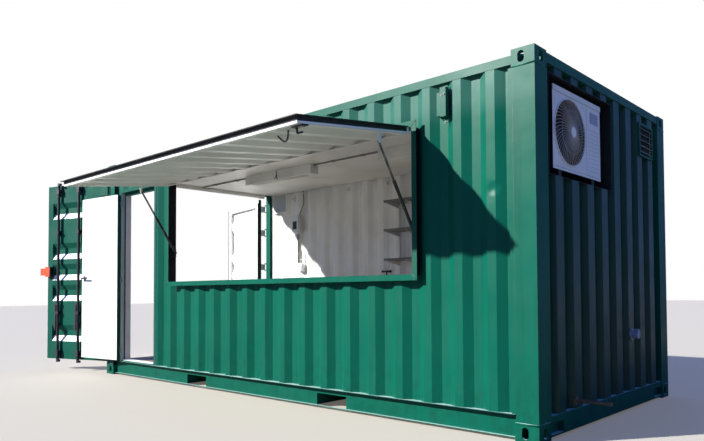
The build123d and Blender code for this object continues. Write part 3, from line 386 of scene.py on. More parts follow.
def white_paint(name, roughness=0.45):
    """Even white paint with faint dull patches and roller grain."""
    material, shader, tree = new_material(name, roughness)
    uneven_gloss(tree, shader, 6, roughness - 0.06, roughness + 0.08)
    finish(tree, shader, white_colour(tree), grain=150, strength=0.2, distance=0.0006)
    return material


def edge_of_awning(name):
    """Black rubber above, and the white steel edge below it along the front and ends."""
    material, shader, tree = new_material(name, 0.6)
    white_below = 0.031
    pin = AWNING_PIN[0] * AWNING_UP[1] + AWNING_PIN[1] * AWNING_UP[2]
    rise = dot_with(tree, place_of(tree), AWNING_UP)
    low = ranged(tree, rise, pin - white_below, pin - white_below - 0.002)
    edges = facing(tree, AWNING_OUT, low=0.8, high=0.9)
    for end in (CLOSED_END, DOOR_END):
        edges = maths(tree, "MAXIMUM", edges, facing(tree, end, low=0.8, high=0.9))
    white_part = maths(tree, "MULTIPLY", low, edges)
    rubber = patchy(tree, RUBBER, RUBBER_DUST, scale=11, high=0.75)
    colour = colour_mix(tree, white_part, rubber, WHITE)
    finish(tree, shader, colour, grain=320, strength=0.3, distance=0.0005)
    return material


def two_sided(name, outward, colour, other, roughness=0.45, above=None):
    """One colour on faces along a direction, above a height, and another on the rest."""
    material, shader, tree = new_material(name, roughness, gleam=0.15)
    seen = facing(tree, outward, low=0.6, high=0.7)
    if above:
        raised = ranged(tree, height_of(tree), above - 0.001, above)
        seen = maths(tree, "MULTIPLY", seen, raised)
    dull = tuple(0.86 * part for part in colour)
    mixed = patchy(tree, colour, dull, scale=5, high=0.75)
    uneven_gloss(tree, shader, 8, roughness - 0.06, roughness + 0.08)
    both = colour_mix(tree, seen, other, mixed)
    finish(tree, shader, both, grain=200, strength=0.3, distance=0.0004)
    return material


def board_paint(name):
    """Cream boxes, with grey conduits between and above them."""
    material, shader, tree = new_material(name, 0.42)
    height = height_of(tree)
    edge = 0.002
    above_board = ranged(tree, height, BOARD_Z[1], BOARD_Z[1] + edge)
    above_outlet = ranged(tree, height, OUTLET_TOP, OUTLET_TOP + edge)
    below_board = ranged(tree, height, BOARD_Z[0], BOARD_Z[0] - edge)
    lower_pipe = maths(tree, "MULTIPLY", above_outlet, below_board)
    pipes = maths(tree, "MAXIMUM", above_board, lower_pipe)
    boxes = patchy(tree, CREAM, CREAM_DULL, scale=5)
    colour = colour_mix(tree, pipes, boxes, CONDUIT)
    finish(tree, shader, colour, grain=260, strength=0.35, distance=0.0004)
    return material


def lock_box_paint(name):
    """Red at the free end, black at the base, and white on top as a painted sun highlight."""
    material, shader, tree = new_material(name, 0.42, gleam=0.15)
    along = dot_with(tree, place_of(tree), NEAR_ALONG)
    red_end = ranged(tree, along, LOCK_RED - 0.001, LOCK_RED + 0.001)
    colour = colour_mix(tree, red_end, DARK, patchy(tree, RED, RED_DULL, scale=9))
    # Painted highlight: upward faces are white for the sun on the box's top
    colour = colour_mix(tree, facing(tree, UP, low=0.7, high=0.8), colour, WHITE)
    finish(tree, shader, colour, grain=260, strength=0.35, distance=0.0004)
    return material


def plywood():
    """Boards with grain along the cabin."""
    material, shader, tree = new_material("plywood", 0.55)
    fibres = noise(tree, scale=6, detail=8, stretch=(0.35, 9, 9))
    grain = ranged(tree, fibres, low=0.35, high=0.7)
    tree.links.new(colour_mix(tree, grain, PLYWOOD, PLYWOOD_DARK), shader.inputs["Base Color"])
    bumped(tree, shader, grain, strength=0.25, distance=0.0008)
    return material


def tread_plate():
    """Bright ribbed plate of the threshold."""
    material, shader, tree = new_material("tread_plate", 0.3, 0.35)
    colour = patchy(tree, WHITE, FRAME_GREY, scale=12, high=0.75)
    tree.links.new(colour, shader.inputs["Base Color"])
    wave = tree.nodes.new("ShaderNodeTexWave")
    wave.bands_direction = "Y"
    wave.inputs["Scale"].default_value = 45
    tree.links.new(place_of(tree), wave.inputs["Vector"])
    bumped(tree, shader, wave.outputs["Fac"], strength=0.4, distance=0.001)
    return material


paint = {
    "green": green_paint("green_paint", tone_and_painted_shade=1.08, gleam=0.1, painted_glare_high=0.05),
    "front": green_paint(
        "front_paint", outward=FRONT, dents=WALL_DENTS, tone_and_painted_shade=1.1, gleam=0.1, painted_glare_high=0.09
    ),
    "rear": green_paint("rear_paint", outward=REAR),
    # Painted shade: the closed end's green is painted at half brightness, for the shade that end
    # stands in
    "end": green_paint("end_paint", outward=CLOSED_END, tone_and_painted_shade=0.5, gleam=0.35),
    "header": green_paint("header_paint", inward=HEADER_IN),
    "roof": green_paint("roof_paint", outward=UP, chalk_and_highlight=CHALK_AND_HIGHLIGHT_FAINT),
    "near_leaf": green_paint(
        "near_leaf_paint", outward=NEAR_OUT, painted_white_glare=True, outer_limits=(-0.3, -0.1)
    ),
    "far_leaf": green_paint("far_leaf_paint", outward=FAR_OUT, painted_white_glare=True),
    "awning": green_paint("awning_paint", outward=AWNING_UP, chalk_and_highlight=CHALK_AND_HIGHLIGHT_FAINT),
    "person": green_paint("person_paint", inward=PERSON_IN),
    "white": white_paint("white_paint"),
    "frame_grey": worn("grey_paint", FRAME_GREY, FRAME_GREY_DULL, roughness=0.45, scale=6),
    "cream": worn("cream_paint", CREAM, CREAM_DULL, roughness=0.42, scale=5),
    "grey": worn("grey_plastic", *GREY, roughness=0.4),
    "black": worn("black_paint", DARK, DARK_DUST, roughness=0.38),
    "edge": edge_of_awning("awning_edge"),
    "rubber": worn("black_rubber", RUBBER, RUBBER_DUST, roughness=0.65),
    "steel": worn("bare_steel", *STEEL, roughness=0.3, metallic=1.0, scale=20),
    # Painted shade: the strut rods' steel is painted dark for the shade the right strut stands
    # in
    "strut_rod": worn("rod_steel_darkened", ROD_STEEL_DARKENED, DARK_DUST, roughness=0.32, metallic=0.8, scale=20),
    "brass": worn("dull_brass", *BRASS, roughness=0.45, metallic=0.5, scale=20),
    "red": lock_box_paint("lock_box_paint"),
    "guard": worn("guard_paint", *GUARD, roughness=0.42, scale=12),
    "blade": worn("fan_blade", BLADE, DARK_DUST, roughness=0.45, scale=12),
    "fan": worn("fan_plastic", *FAN_DUST, roughness=0.5, scale=12),
    # Painted shade: the recess round the air conditioner is near-black for the shade inside it
    "recess": worn("recess_painted_shadow", *RECESS_SHADOW, roughness=0.6, scale=4),
    # Painted shade: the casing is cream only on front faces above its foot; its sides, top and
    # underside in the recess are near-black
    "unit": two_sided("unit_paint_painted_shadow", CLOSED_END, CREAM, DARK, above=UNIT_Z[0]),
    "doorway": two_sided("doorway_paint", CLOSED_END, FRAME_GREY, GREEN),
    # Painted shade: jamb faces that look towards the closed end, away from the sun, are
    # near-black; the rest is green
    "hatch": two_sided("hatch_reveal_painted_shadow", CLOSED_END, DARK, GREEN),
    "seam": worn("seam_paint", *SEAM),
    # Painted shade: shelf boards are pale only on their tops; edges and undersides get a dark
    # grey
    "shelf": two_sided("shelf_board_painted_shadow", UP, WHITE_DULL, SHELF_UNDERSIDE_SHADOW),
    "joint": worn("joint_shadow", *JOINT_SHADOW),
    "conduit": worn("conduit_grey", CONDUIT, CONDUIT_DULL),
    "board": board_paint("board_paint"),
    "vent_grey": worn("vent_panel", FILTER_GREY, FILTER_DULL),
    "plywood": plywood(),
    "tread": tread_plate(),
}

# Paint by the start of a node's name, and plain green for the rest
NODE_PAINT = {
    "front_wall": "front",
    "rear_wall": "rear",
    "end_wall": "end",
    "roof_panel": "roof",
    "near_cargo_leaf": "near_leaf",
    "far_cargo_leaf": "far_leaf",
    "awning_panel": "awning",
    "awning_frame": "white",
    "awning_seal": "edge",
    "awning_lugs": "white",
    "gas_strut_cylinders": "black",
    "gas_strut_rods": "strut_rod",
    "strut_brackets": "black",
    "personnel_door_leaf": "person",
    "personnel_door_handle": "black",
    "personnel_door_hinges": "steel",
    "doorway_frame": "doorway",
    "near_lock_gear": "black",
    "far_lock_gear": "black",
    "lock_box": "red",
    "air_conditioner_recess": "recess",
    "air_conditioner_unit": "unit",
    "door_header": "header",
    "hatch_jambs": "hatch",
    "rear_louvre_vent": "white",
    "power_inlet": "grey",
    "drain_pipe": "brass",
    "floor": "plywood",
    "ceiling_conduit": "conduit",
    "ceiling": "white",
    "lamp_battens": "white",
    "shelves": "shelf",
    "shelf_brackets": "frame_grey",
    "switchboard": "board",
}


def paint_of(name):
    """The paint of a node."""
    for start, kind in NODE_PAINT.items():
        if name.startswith(start):
            return paint[kind]
    return paint["green"]


for name, piece in nodes.items():
    for place in piece.material_slots:
        place.link = "DATA"
        place.material = paint_of(name)


# Helpers for the added pieces
def block(bm, low, high):
    """A block between two corners."""
    size = [b - a for a, b in zip(low, high)]
    middle = [(a + b) / 2 for a, b in zip(low, high)]
    matrix = Matrix.Translation(middle) @ Matrix.Diagonal((*size, 1))
    bmesh.ops.create_cube(bm, size=1, matrix=matrix)


def rod(bm, start, end, radius, sides=8, tip=None):
    """A round bar between two points, tapering to tip where it is given."""
    start = Vector(start)
    run = Vector(end) - start
    turn = run.to_track_quat("Z", "Y").to_matrix().to_4x4()
    bmesh.ops.create_cone(
        bm,
        cap_ends=True,
        segments=sides,
        radius1=radius,
        radius2=radius if tip is None else tip,
        depth=run.length,
        matrix=Matrix.Translation(start + run / 2) @ turn,
    )


def ring(bm, centre, normal, radius, thick, steps=48, sides=6):
    """A closed ring of round wire."""
    turn = Vector(normal).to_track_quat("Z", "Y").to_matrix()
    loops = []
    for i in range(steps):
        angle = 2 * math.pi * i / steps
        out = turn @ Vector((math.cos(angle), math.sin(angle), 0))
        middle = Vector(centre) + out * radius
        loop = []
        for j in range(sides):
            around = 2 * math.pi * j / sides
            offset = out * math.cos(around) + turn @ Vector((0, 0, math.sin(around)))
            loop.append(bm.verts.new(middle + offset * thick))
        loops.append(loop)
    for i in range(steps):
        here = loops[i]
        there = loops[(i + 1) % steps]
        for j in range(sides):
            k = (j + 1) % sides
            bm.faces.new((here[j], there[j], there[k], here[k]))


def bolt(bm, spot, normal, radius=0.007, high=0.005):
    """A domed bolt head on a washer."""
    spot = Vector(spot)
    way = Vector(normal).normalized()
    washer_top = spot + way * high * 0.3
    rod(bm, spot, washer_top, radius * 1.5, sides=12)
    rod(bm, washer_top, spot + way * high, radius, sides=6, tip=radius * 0.85)


def bolt_grid(bm, xs, ys, zs, normal, radius, high):
    """Bolts at every crossing of the given places."""
    for x in xs:
        for y in ys:
            for z in zs:
                bolt(bm, (x, y, z), normal, radius, high)


def round_spots(x, y, z, reach, angles):
    """Points round a centre on the closed end, at angles in degrees."""
    spots = []
    for angle in angles:
        turn = math.radians(angle)
        spots.append((x, y + reach * math.cos(turn), z + reach * math.sin(turn)))
    return spots


def between(side, first, second):
    """A range that is mirrored on the negative side, lower end first."""
    return sorted((side * first, side * second))


def slab(bm, point, along, depth, z):
    """A block set square on a leaf, whose function point places its corners."""
    corners = [bm.verts.new(point(a, d, up)) for a in along for d in depth for up in z]
    faces = ((0, 1, 3, 2), (4, 6, 7, 5), (0, 4, 5, 1), (2, 3, 7, 6), (0, 2, 6, 4), (1, 5, 7, 3))
    for loop in faces:
        bm.faces.new([corners[k] for k in loop])


def on_rear_wall(bm, x, z, deep, back=0.0):
    """A block that stands off the rear wall's inner face, over ranges of x and z."""
    block(bm, (x[0], CABIN_Y - deep, z[0]), (x[1], CABIN_Y - back, z[1]))


def spaced(first, pitch, count):
    """Places at an equal pitch."""
    return [first + n * pitch for n in range(count)]


def about(middle, reach):
    """A range about a middle."""
    return (middle - reach, middle + reach)


def add_object(name, data):
    """An object in the scene."""
    made = bpy.data.objects.new(name, data)
    bpy.context.collection.objects.link(made)
    return made


def piece_of(
    name, material, build, slot="green_steel", bevel=0.0, smooth=False, body="container"
):
    """One added piece, built in mesh code, that rides on a body."""
    mesh = bpy.data.meshes.new(name)
    bm = bmesh.new()
    build(bm)
    bmesh.ops.recalc_face_normals(bm, faces=bm.faces)
    for face in bm.faces:
        face.smooth = smooth
    bm.to_mesh(mesh)
    bm.free()
    piece = add_object(name, mesh)
    mesh.materials.append(paint[material])
    if bevel:
        edge = piece.modifiers.new("edge", "BEVEL")
        edge.width = bevel
        edge.segments = 2
        edge.limit_method = "ANGLE"
    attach(piece, body)
    return piece


# Cabin: welds, bolts and fittings
def corner_welds(bm):
    """Weld beads where the corner posts meet their castings."""
    bead = 0.008
    sunk_x = 0.004
    sunk_y = 0.003
    overlap = 0.006
    for x_side in SIDES:
        for y_side in SIDES:
            x = x_side * (HALF_L - sunk_x)
            y = y_side * (HALF_W - sunk_y)
            inner_x = x_side * (HALF_L - CASTING[0] + overlap)
            inner_y = y_side * (HALF_W - CASTING[1] + overlap)
            for z in (CASTING[2], HEIGHT - CASTING[2]):
                rod(bm, (inner_x, y, z), (x, y, z), bead)
                if x_side > 0:
                    rod(bm, (x, inner_y, z), (x, y, z), bead)


def post_joint_shadow_lines(bm):
    """Painted shadow: a dark strip beside each solid corner post at the closed end."""
    post_edge = HALF_L - CASTING[0] + 0.01
    left = post_edge - 0.007
    right = post_edge - 0.0005
    for side in SIDES:
        y = between(side, HALF_W - 0.011, HALF_W - 0.0085)
        block(bm, (left, y[0], CASTING[2]), (right, y[1], HEIGHT - CASTING[2]))


def door_post_lips(bm):
    """Lips of the door posts between the hinges, out to the line of the pins."""
    lip_x = (-3.026, -2.984)
    lip_y = (1.207, 1.2185)
    post_low, post_high = 0.125, 2.47
    stops = [post_low, *HINGE_HEIGHTS, post_high]
    for side in SIDES:
        y = between(side, *lip_y)
        for n in range(len(stops) - 1):
            low = stops[n] + (HINGE_CLEAR if n else 0)
            high = stops[n + 1] - (HINGE_CLEAR if n + 2 < len(stops) else 0)
            block(bm, (lip_x[0], y[0], low), (lip_x[1], y[1], high))


def rail_edges(bm):
    """Rolled outer edges of the bottom rails' upper flanges."""
    edge = 0.0045
    end_gap = 0.002
    reach = HALF_L - CASTING[0] - end_gap
    z = RAIL_TOP - edge / 2
    for side in SIDES:
        flange = side * (HALF_W - 0.001)
        lip = side * (HALF_W + 0.007)
        y = sorted((flange, lip))
        block(bm, (-reach, y[0], RAIL_TOP - edge), (reach, y[1], RAIL_TOP))
        rod(bm, (-reach, lip, z), (reach, lip, z), edge, sides=12)


def hatch_mitres(bm):
    """Ground weld lines across the corners of the hatch frame."""
    y = -FRAME_FRONT
    line = 0.0018
    for x, out_x in zip(HATCH_X, SIDES):
        for z, out_z in zip(HATCH_Z, SIDES):
            outer = (x + out_x * FRAME_FACE, y, z + out_z * FRAME_FACE)
            rod(bm, (x, y, z), outer, line, sides=6)


def vent_mesh_and_shadow_sheet(centre, across_y, bm):
    """Insect mesh behind a louvre: a grid of thin wires in front of a thin dark sheet, which is
    painted shade.
    """
    margin = 0.012
    wire = 0.0012
    gaps = 16
    sheet = (0.006, 0.004)
    half_wide = VENT_WIDE / 2 - margin
    half_high = VENT_HIGH / 2 - margin

    def spot(across, up, behind=0.0):
        x, y, z = centre
        if across_y:
            return (x - behind, y + across, z + up)
        return (x + across, y - behind, z + up)

    for i in range(gaps + 1):
        share = -1 + 2 * i / gaps
        across = share * half_wide
        up = share * half_high
        rod(bm, spot(across, -half_high), spot(across, half_high), wire, sides=4)
        rod(bm, spot(-half_wide, up), spot(half_wide, up), wire, sides=4)
    # Painted shade: the thin dark sheet behind the wires keeps the louvre's openings dark
    block(bm, spot(-half_wide, -half_high, sheet[0]), spot(half_wide, half_high, sheet[1]))


def rear_vent_frame(bm):
    """White trim of the rear vent inside the cabin."""
    rim = 0.02
    thick = 0.006
    left, right = about(REAR_VENT[0], VENT_WIDE / 2)
    low, high = about(REAR_VENT[2], VENT_HIGH / 2)
    on_rear_wall(bm, (left, right), (high - rim, high), thick)
    on_rear_wall(bm, (left, right), (low, low + rim), thick)
    on_rear_wall(bm, (left, left + rim), (low, high), thick)
    on_rear_wall(bm, (right - rim, right), (low, high), thick)


def rear_vent_panel(bm):
    """Grey ribbed filter panel inside the rear vent's trim."""
    margin = 0.018
    panel_thick = 0.003
    first_rib = 0.02
    rib_high = 0.003
    wide = about(REAR_VENT[0], VENT_WIDE / 2 - margin)
    high = about(REAR_VENT[2], VENT_HIGH / 2 - margin)
    on_rear_wall(bm, wide, high, panel_thick)
    for low in spaced(high[0] + first_rib, pitch=0.027, count=9):
        on_rear_wall(bm, wide, (low, low + rib_high), deep=0.0045, back=0.002)


def vent_bolts(bm):
    """Rivets in the corners of the end louvre."""
    face = END_VENT[0] + 0.014
    margin = 0.01
    ys = about(END_VENT[1], VENT_WIDE / 2 - margin)
    zs = about(END_VENT[2], VENT_HIGH / 2 - margin)
    bolt_grid(bm, [face], ys, zs, CLOSED_END, radius=0.004, high=0.003)


def lashing_rings(bm):
    """Small rings on plates near the top of the rear wall."""
    z = 2.386
    plate_thick = 0.004
    for x in (-1.168, -0.451):
        on_rear_wall(bm, about(x, 0.018), (z - 0.02, z + 0.03), plate_thick)
        hang = (x, CABIN_Y - 0.012, z - 0.012)
        ring(bm, hang, (0.3, 0.4, 1), radius=0.022, thick=0.004, steps=20)
        bolt(bm, (x, CABIN_Y - plate_thick, z + 0.02), FRONT, radius=0.004, high=0.003)


def isolator(bm):
    """Isolator box on the rear wall, with its round knob and the knob's grip."""
    x, z = -2.312, 2.366
    box_deep = 0.03
    knob_deep = 0.05
    on_rear_wall(bm, about(x, 0.036), about(z, 0.04), box_deep)
    knob = (x, CABIN_Y - box_deep, z)
    rod(bm, knob, (x, CABIN_Y - knob_deep, z), 0.016, sides=16, tip=0.014)
    on_rear_wall(bm, about(x, 0.004), about(z, 0.015), deep=0.056, back=0.048)


def pipe_tee(bm):
    """Dark pipe tee standing off the rear wall under the shelves."""
    x, z = -0.448, 1.249
    y = CABIN_Y - 0.03
    arm = 0.075
    collar = 0.015
    drop = 0.13
    rod(bm, (x - arm, y, z), (x + arm, y, z), 0.012, sides=12)
    for side in SIDES:
        tip = (x + side * arm, y, z)
        rod(bm, tip, (x + side * (arm - collar), y, z), 0.016, sides=12)
    rod(bm, (x, y, z), (x, y, z - drop), 0.011, sides=12)
    rod(bm, (x, CABIN_Y, z), (x, y, z), 0.01, sides=12)


def board_window(bm):
    """Dark window of the switchboard with its breakers."""
    board_deep = 0.087
    breaker_high = 0.016
    on_rear_wall(bm, (-2.246, -2.158), (1.906, 2.022), board_deep + 0.002, board_deep)
    for low in spaced(1.914, pitch=0.026, count=4):
        across = (-2.236, -2.168)
        on_rear_wall(bm, across, (low, low + breaker_high), board_deep + 0.006, board_deep)


def board_trim(bm):
    """Lid seam and screws of the switchboard, and the outlet's flaps and screws."""
    board_deep = 0.084
    outlet_deep = 0.046
    flap = outlet_deep + 0.012
    flap_z = (1.315, 1.385)
    on_rear_wall(bm, (-2.262, -2.132), (2.03, 2.036), board_deep + 0.004, board_deep)
    lid = [CABIN_Y - board_deep]
    bolt_grid(bm, (-2.252, -2.142), lid, (1.87, 2.102), FRONT, radius=0.003, high=0.003)
    on_rear_wall(bm, (-2.195, -2.145), flap_z, flap, outlet_deep)
    on_rear_wall(bm, (-2.138, -2.09), flap_z, flap, outlet_deep)
    plate = [CABIN_Y - outlet_deep]
    bolt_grid(bm, (-2.204, -2.082), plate, (1.303, 1.4), FRONT, radius=0.003, high=0.003)


def saddles(bm):
    """Saddle clips over the wall conduits."""
    deep = 0.024
    clip = 0.014
    for z in (1.55, 1.75):
        on_rear_wall(bm, (-2.236, -2.2), (z, z + clip), deep)
    for z in (2.2, 2.42):
        on_rear_wall(bm, (-2.115, -2.075), (z, z + clip), deep)
    on_rear_wall(bm, (-2.162, -2.124), (1.46, 1.46 + clip), deep)


def batten_lenses(bm):
    """Two shallow tubes under each lamp batten, and the screws in its ends."""
    low = CEILING_LOW - LAMP_H
    tube_z = low + 0.004
    tube_r = 0.012
    half = LAMP_L / 2 - 0.13
    for x in LAMP_CENTRES:
        for y in (-0.02, 0.02):
            rod(bm, (x - half, y, tube_z), (x + half, y, tube_z), tube_r, sides=16)
        for side in SIDES:
            for y in (-0.04, 0.04):
                spot = (x + side * LAMP_L / 2, y, low + 0.03)
                bolt(bm, spot, (side, 0, 0), radius=0.003, high=0.002)


def batten_hook(bm):
    """Wire hook that hangs at the side of the first batten."""
    x, y = -1.142, -0.062
    wire = 0.004
    fork = (x, y, 2.395)
    rod(bm, (x, y, 2.46), fork, wire)
    rod(bm, fork, (x - 0.028, y - 0.012, 2.362), wire)
    rod(bm, fork, (x + 0.03, y - 0.008, 2.35), wire)
    ring(bm, (x, y, 2.4), REAR, radius=0.009, thick=0.003, steps=16)


def frame_screws(bm):
    """Screws along both jambs of the doorway frame."""
    right_jamb, right_heights = -1.87, (0.5, 1.0, 1.5, 2.0)
    left_jamb, left_heights = -2.694, (0.45, 0.85, 1.35, 1.75, 2.15)
    for x, heights in ((right_jamb, right_heights), (left_jamb, left_heights)):
        bolt_grid(bm, [x], [-HALF_W], heights, FRONT, radius=0.004, high=0.0025)


def hinge_screws(bm):
    """Screws in the fixed plates of the personnel door hinges."""
    x = -2.683
    y = PERSON_PIN[1] + 0.003
    for middle in (0.3, 1.15, 2.08):
        for side in SIDES:
            for step in (0.024, 0.038):
                bolt(bm, (x, y, middle + side * step), FRONT, radius=0.003, high=0.002)


def strut_bolts(bm):
    """Bolts in the jamb brackets and the heads of the lower strut pins."""
    y = -1.2
    plate = 0.005
    pin_head = 0.0435
    for x, side in zip(HATCH_X, (1, -1)):
        inward = (side, 0, 0)
        for z in (1.395, 1.465):
            bolt(bm, (x + side * plate, y, z), inward, radius=0.006)
        bolt(bm, (x + side * pin_head, y, 1.43), inward, high=0.004)


def vent_box_bolts(bm):
    """Bolts of the small wall vent and of the wall below it."""
    x = 2.303
    face = -1.251
    for aside, z in ((-0.011, 2.392), (0.012, 2.398)):
        bolt(bm, (x + aside, face, z), FRONT, radius=0.006, high=0.006)
    bolt(bm, (x, -1.2155, 2.203), FRONT, high=0.006)


def inlet_details(bm):
    """Hinged cap, pins and flange screws of the power inlet."""
    x, y, z = 3.031, 0.371, 0.617
    for spot in round_spots(x, y, z, 0.04, (45, 135, 225, 315)):
        bolt(bm, spot, CLOSED_END, radius=0.003, high=0.003)
    ring(bm, (x + 0.049, y, z), CLOSED_END, radius=0.033, thick=0.003, steps=32)
    block(bm, (x + 0.02, y - 0.012, z + 0.034), (x + 0.052, y + 0.012, z + 0.046))
    for pin in round_spots(x + 0.05, y, z, 0.016, (0, 120, 240)):
        rod(bm, pin, (pin[0] + 0.004, pin[1], pin[2]), 0.003)


def drain_bolts(bm):
    """Screws of the drain's flange and its open end's rim."""
    flange_x, mouth_x = 3.027, 3.282
    y, z = -0.677, 0.211
    for spot in round_spots(flange_x, y, z, 0.021, (0, 90, 180, 270)):
        bolt(bm, spot, CLOSED_END, radius=0.003, high=0.002)
    ring(bm, (mouth_x, y, z), CLOSED_END, radius=0.0135, thick=0.002, steps=20)


piece_of("corner_weld_beads", "green", corner_welds, smooth=True)
piece_of("post_joint_shadow_lines", "joint", post_joint_shadow_lines)
piece_of("door_post_lips", "green", door_post_lips, bevel=0.001)
piece_of("bottom_rail_edges", "green", rail_edges, smooth=True)
piece_of("hatch_frame_mitres", "green", hatch_mitres, smooth=True)
end_mesh = partial(vent_mesh_and_shadow_sheet, (END_VENT[0] - 0.004, *END_VENT[1:]), True)
rear_mesh = partial(vent_mesh_and_shadow_sheet, (REAR_VENT[0], REAR_VENT[1] - 0.002, REAR_VENT[2]), False)
piece_of("end_vent_mesh_and_shadow_sheet", "blade", end_mesh, "cream_plastic")
piece_of("rear_vent_mesh_and_shadow_sheet", "blade", rear_mesh, "cream_plastic")
piece_of("rear_vent_inner_trim", "white", rear_vent_frame, "cream_plastic", bevel=0.001)
piece_of("rear_vent_filter", "vent_grey", rear_vent_panel, "cream_plastic")
piece_of("end_vent_rivets", "end", vent_bolts, "cream_plastic")
piece_of("lashing_rings", "frame_grey", lashing_rings, "bare_steel", smooth=True)
piece_of("isolator_switch", "cream", isolator, "cream_plastic", bevel=0.003)
piece_of("pipe_tee", "black", pipe_tee, "black_steel", smooth=True)
piece_of("switchboard_window", "blade", board_window, "black_steel", bevel=0.001)
piece_of("switchboard_trim", "cream", board_trim, "cream_plastic", bevel=0.001)
piece_of("conduit_saddles", "cream", saddles, "cream_plastic", bevel=0.003)
piece_of("batten_lenses", "white", batten_lenses, "cream_plastic", smooth=True)
piece_of("batten_hook", "black", batten_hook, "black_steel", smooth=True)
piece_of("doorway_screws", "steel", frame_screws, "bare_steel")
piece_of("personnel_hinge_screws", "steel", hinge_screws, "bare_steel")
piece_of("strut_bracket_bolts", "black", strut_bolts, "black_steel")
piece_of("wall_vent_bolts", "black", vent_box_bolts, "black_steel")
piece_of("power_inlet_cap", "grey", inlet_details, "grey_plastic")
piece_of("drain_flange_screws", "brass", drain_bolts, "bare_steel", smooth=True)


# Air conditioner: fan, wire guard, seams and feet
def fan_wheel(bm):
    """Three broad twisted blades and their boss behind the guard."""
    x = UNIT_FRONT - 0.04
    blades = 3
    rows = 9
    rings = 6
    root = 0.04
    span = FAN_R - 0.062
    first = math.radians(20)
    sweep = math.radians(82)
    rod(bm, (x - 0.03, FAN_Y, FAN_Z), (x + 0.012, FAN_Y, FAN_Z), 0.045, sides=24)
    for blade in range(blades):
        start = first + 2 * math.pi * blade / blades
        grid = []
        for i in range(rows + 1):
            depth = x - 0.028 + 0.04 * i / rows
            row = []
            for j in range(rings + 1):
                reach = root + span * j / rings
                angle = start + sweep * i / rows + 0.35 * j / rings
                y = FAN_Y + reach * math.cos(angle)
                z = FAN_Z + reach * math.sin(angle)
                row.append(bm.verts.new((depth, y, z)))
            grid.append(row)
        sheet = []
        for i in range(rows):
            for j in range(rings):
                corners = (grid[i][j], grid[i + 1][j], grid[i + 1][j + 1], grid[i][j + 1])
                sheet.append(bm.faces.new(corners))
        bmesh.ops.solidify(bm, geom=sheet, thickness=0.002)


def guard_spot(reach, angle):
    """A point of the domed fan guard."""
    bulge = GUARD_RISE * (1 - (reach / FAN_R) ** 2)
    x = UNIT_FRONT + 0.003 + bulge
    return (x, FAN_Y + reach * math.cos(angle), FAN_Z + reach * math.sin(angle))


def guard_wires(bm):
    """Stay rings and swept radial wires of the domed fan guard."""
    wires = 46
    bends = 6
    wire = 0.0032
    root = 0.034
    span = FAN_R - 0.041
    sweep = 0.34
    for share, thick in ((0.3, 0.002), (0.64, 0.0018)):
        reach = FAN_R * share
        centre = (guard_spot(reach, 0)[0], FAN_Y, FAN_Z)
        ring(bm, centre, CLOSED_END, reach, thick, steps=72)
    for n in range(wires):
        start = 2 * math.pi * n / wires
        last = None
        for i in range(bends + 1):
            share = i / bends
            spot = guard_spot(root + span * share, start + sweep * share * share)
            if last:
                rod(bm, last, spot, wire, sides=5)
            last = spot


def guard_rim(bm):
    """Outer rim of the guard with its four fixing screws."""
    centre = (UNIT_FRONT + 0.004, FAN_Y, FAN_Z)
    ring(bm, centre, CLOSED_END, FAN_R - 0.004, 0.0052, steps=96, sides=8)
    for spot in round_spots(UNIT_FRONT, FAN_Y, FAN_Z, FAN_R + 0.004, (45, 135, 225, 315)):
        bolt(bm, spot, CLOSED_END, radius=0.005, high=0.004)


def guard_hub(bm):
    """Smooth cap at the middle of the guard."""
    x = UNIT_FRONT + GUARD_RISE - 0.002
    hub = 0.04
    step = (x + 0.006, FAN_Y, FAN_Z)
    rod(bm, (x, FAN_Y, FAN_Z), step, hub, sides=40)
    rod(bm, step, (x + 0.011, FAN_Y, FAN_Z), hub, sides=40, tip=0.03)


def fan_well(bm):
    """Dark lining of the fan's opening."""
    lip = (UNIT_FRONT - 0.012, FAN_Y, FAN_Z)
    back = (UNIT_FRONT - 0.089, FAN_Y, FAN_Z)
    front = (UNIT_FRONT - 0.086, FAN_Y, FAN_Z)
    ring(bm, lip, CLOSED_END, FAN_R - 0.016, 0.004, steps=72)
    rod(bm, back, front, FAN_R - 0.014, sides=64)


def on_casing(bm, y, z, proud, sunk=0.001):
    """A block on the casing's front, over ranges of y and z."""
    block(bm, (UNIT_FRONT - sunk, y[0], z[0]), (UNIT_FRONT + proud, y[1], z[1]))


def casing_seams(bm):
    """Dark seams of the casing: lid, column beside the fan, and fine lines right of it."""
    seam = 0.0006
    line = 0.0005
    column = -0.352
    left, right = UNIT_Y
    low, high = UNIT_Z
    lid = high - 0.04
    on_casing(bm, (left + 0.004, right - 0.004), (lid, lid + 0.004), seam)
    on_casing(bm, (column, column + 0.004), (low + 0.03, lid), seam)
    on_casing(bm, (left + 0.01, right - 0.01), (low + 0.018, low + 0.021), seam)
    for z in spaced(low + 0.06, pitch=0.031, count=11):
        on_casing(bm, (column + 0.035, right - 0.018), (z, z + 0.0022), line)


def casing_lid(bm):
    """Raised lid lip, the column's foot strip and four screws on the casing."""
    left, right = UNIT_Y
    low, high = UNIT_Z
    margin = 0.014
    on_casing(bm, (left, right), (high - 0.036, high + 0.002), proud=0.005, sunk=0.002)
    on_casing(bm, (-0.334, right - 0.006), (low + 0.032, low + 0.05), proud=0.0015, sunk=0.002)
    ys = (left + margin, right - margin)
    zs = (low + 0.012, high - 0.05)
    bolt_grid(bm, [UNIT_FRONT], ys, zs, CLOSED_END, radius=0.004, high=0.003)


def small_plate(bm):
    """Small bare plate high on the casing's front."""
    on_casing(bm, (-0.29, -0.15), (2.26, 2.345), proud=0.002)


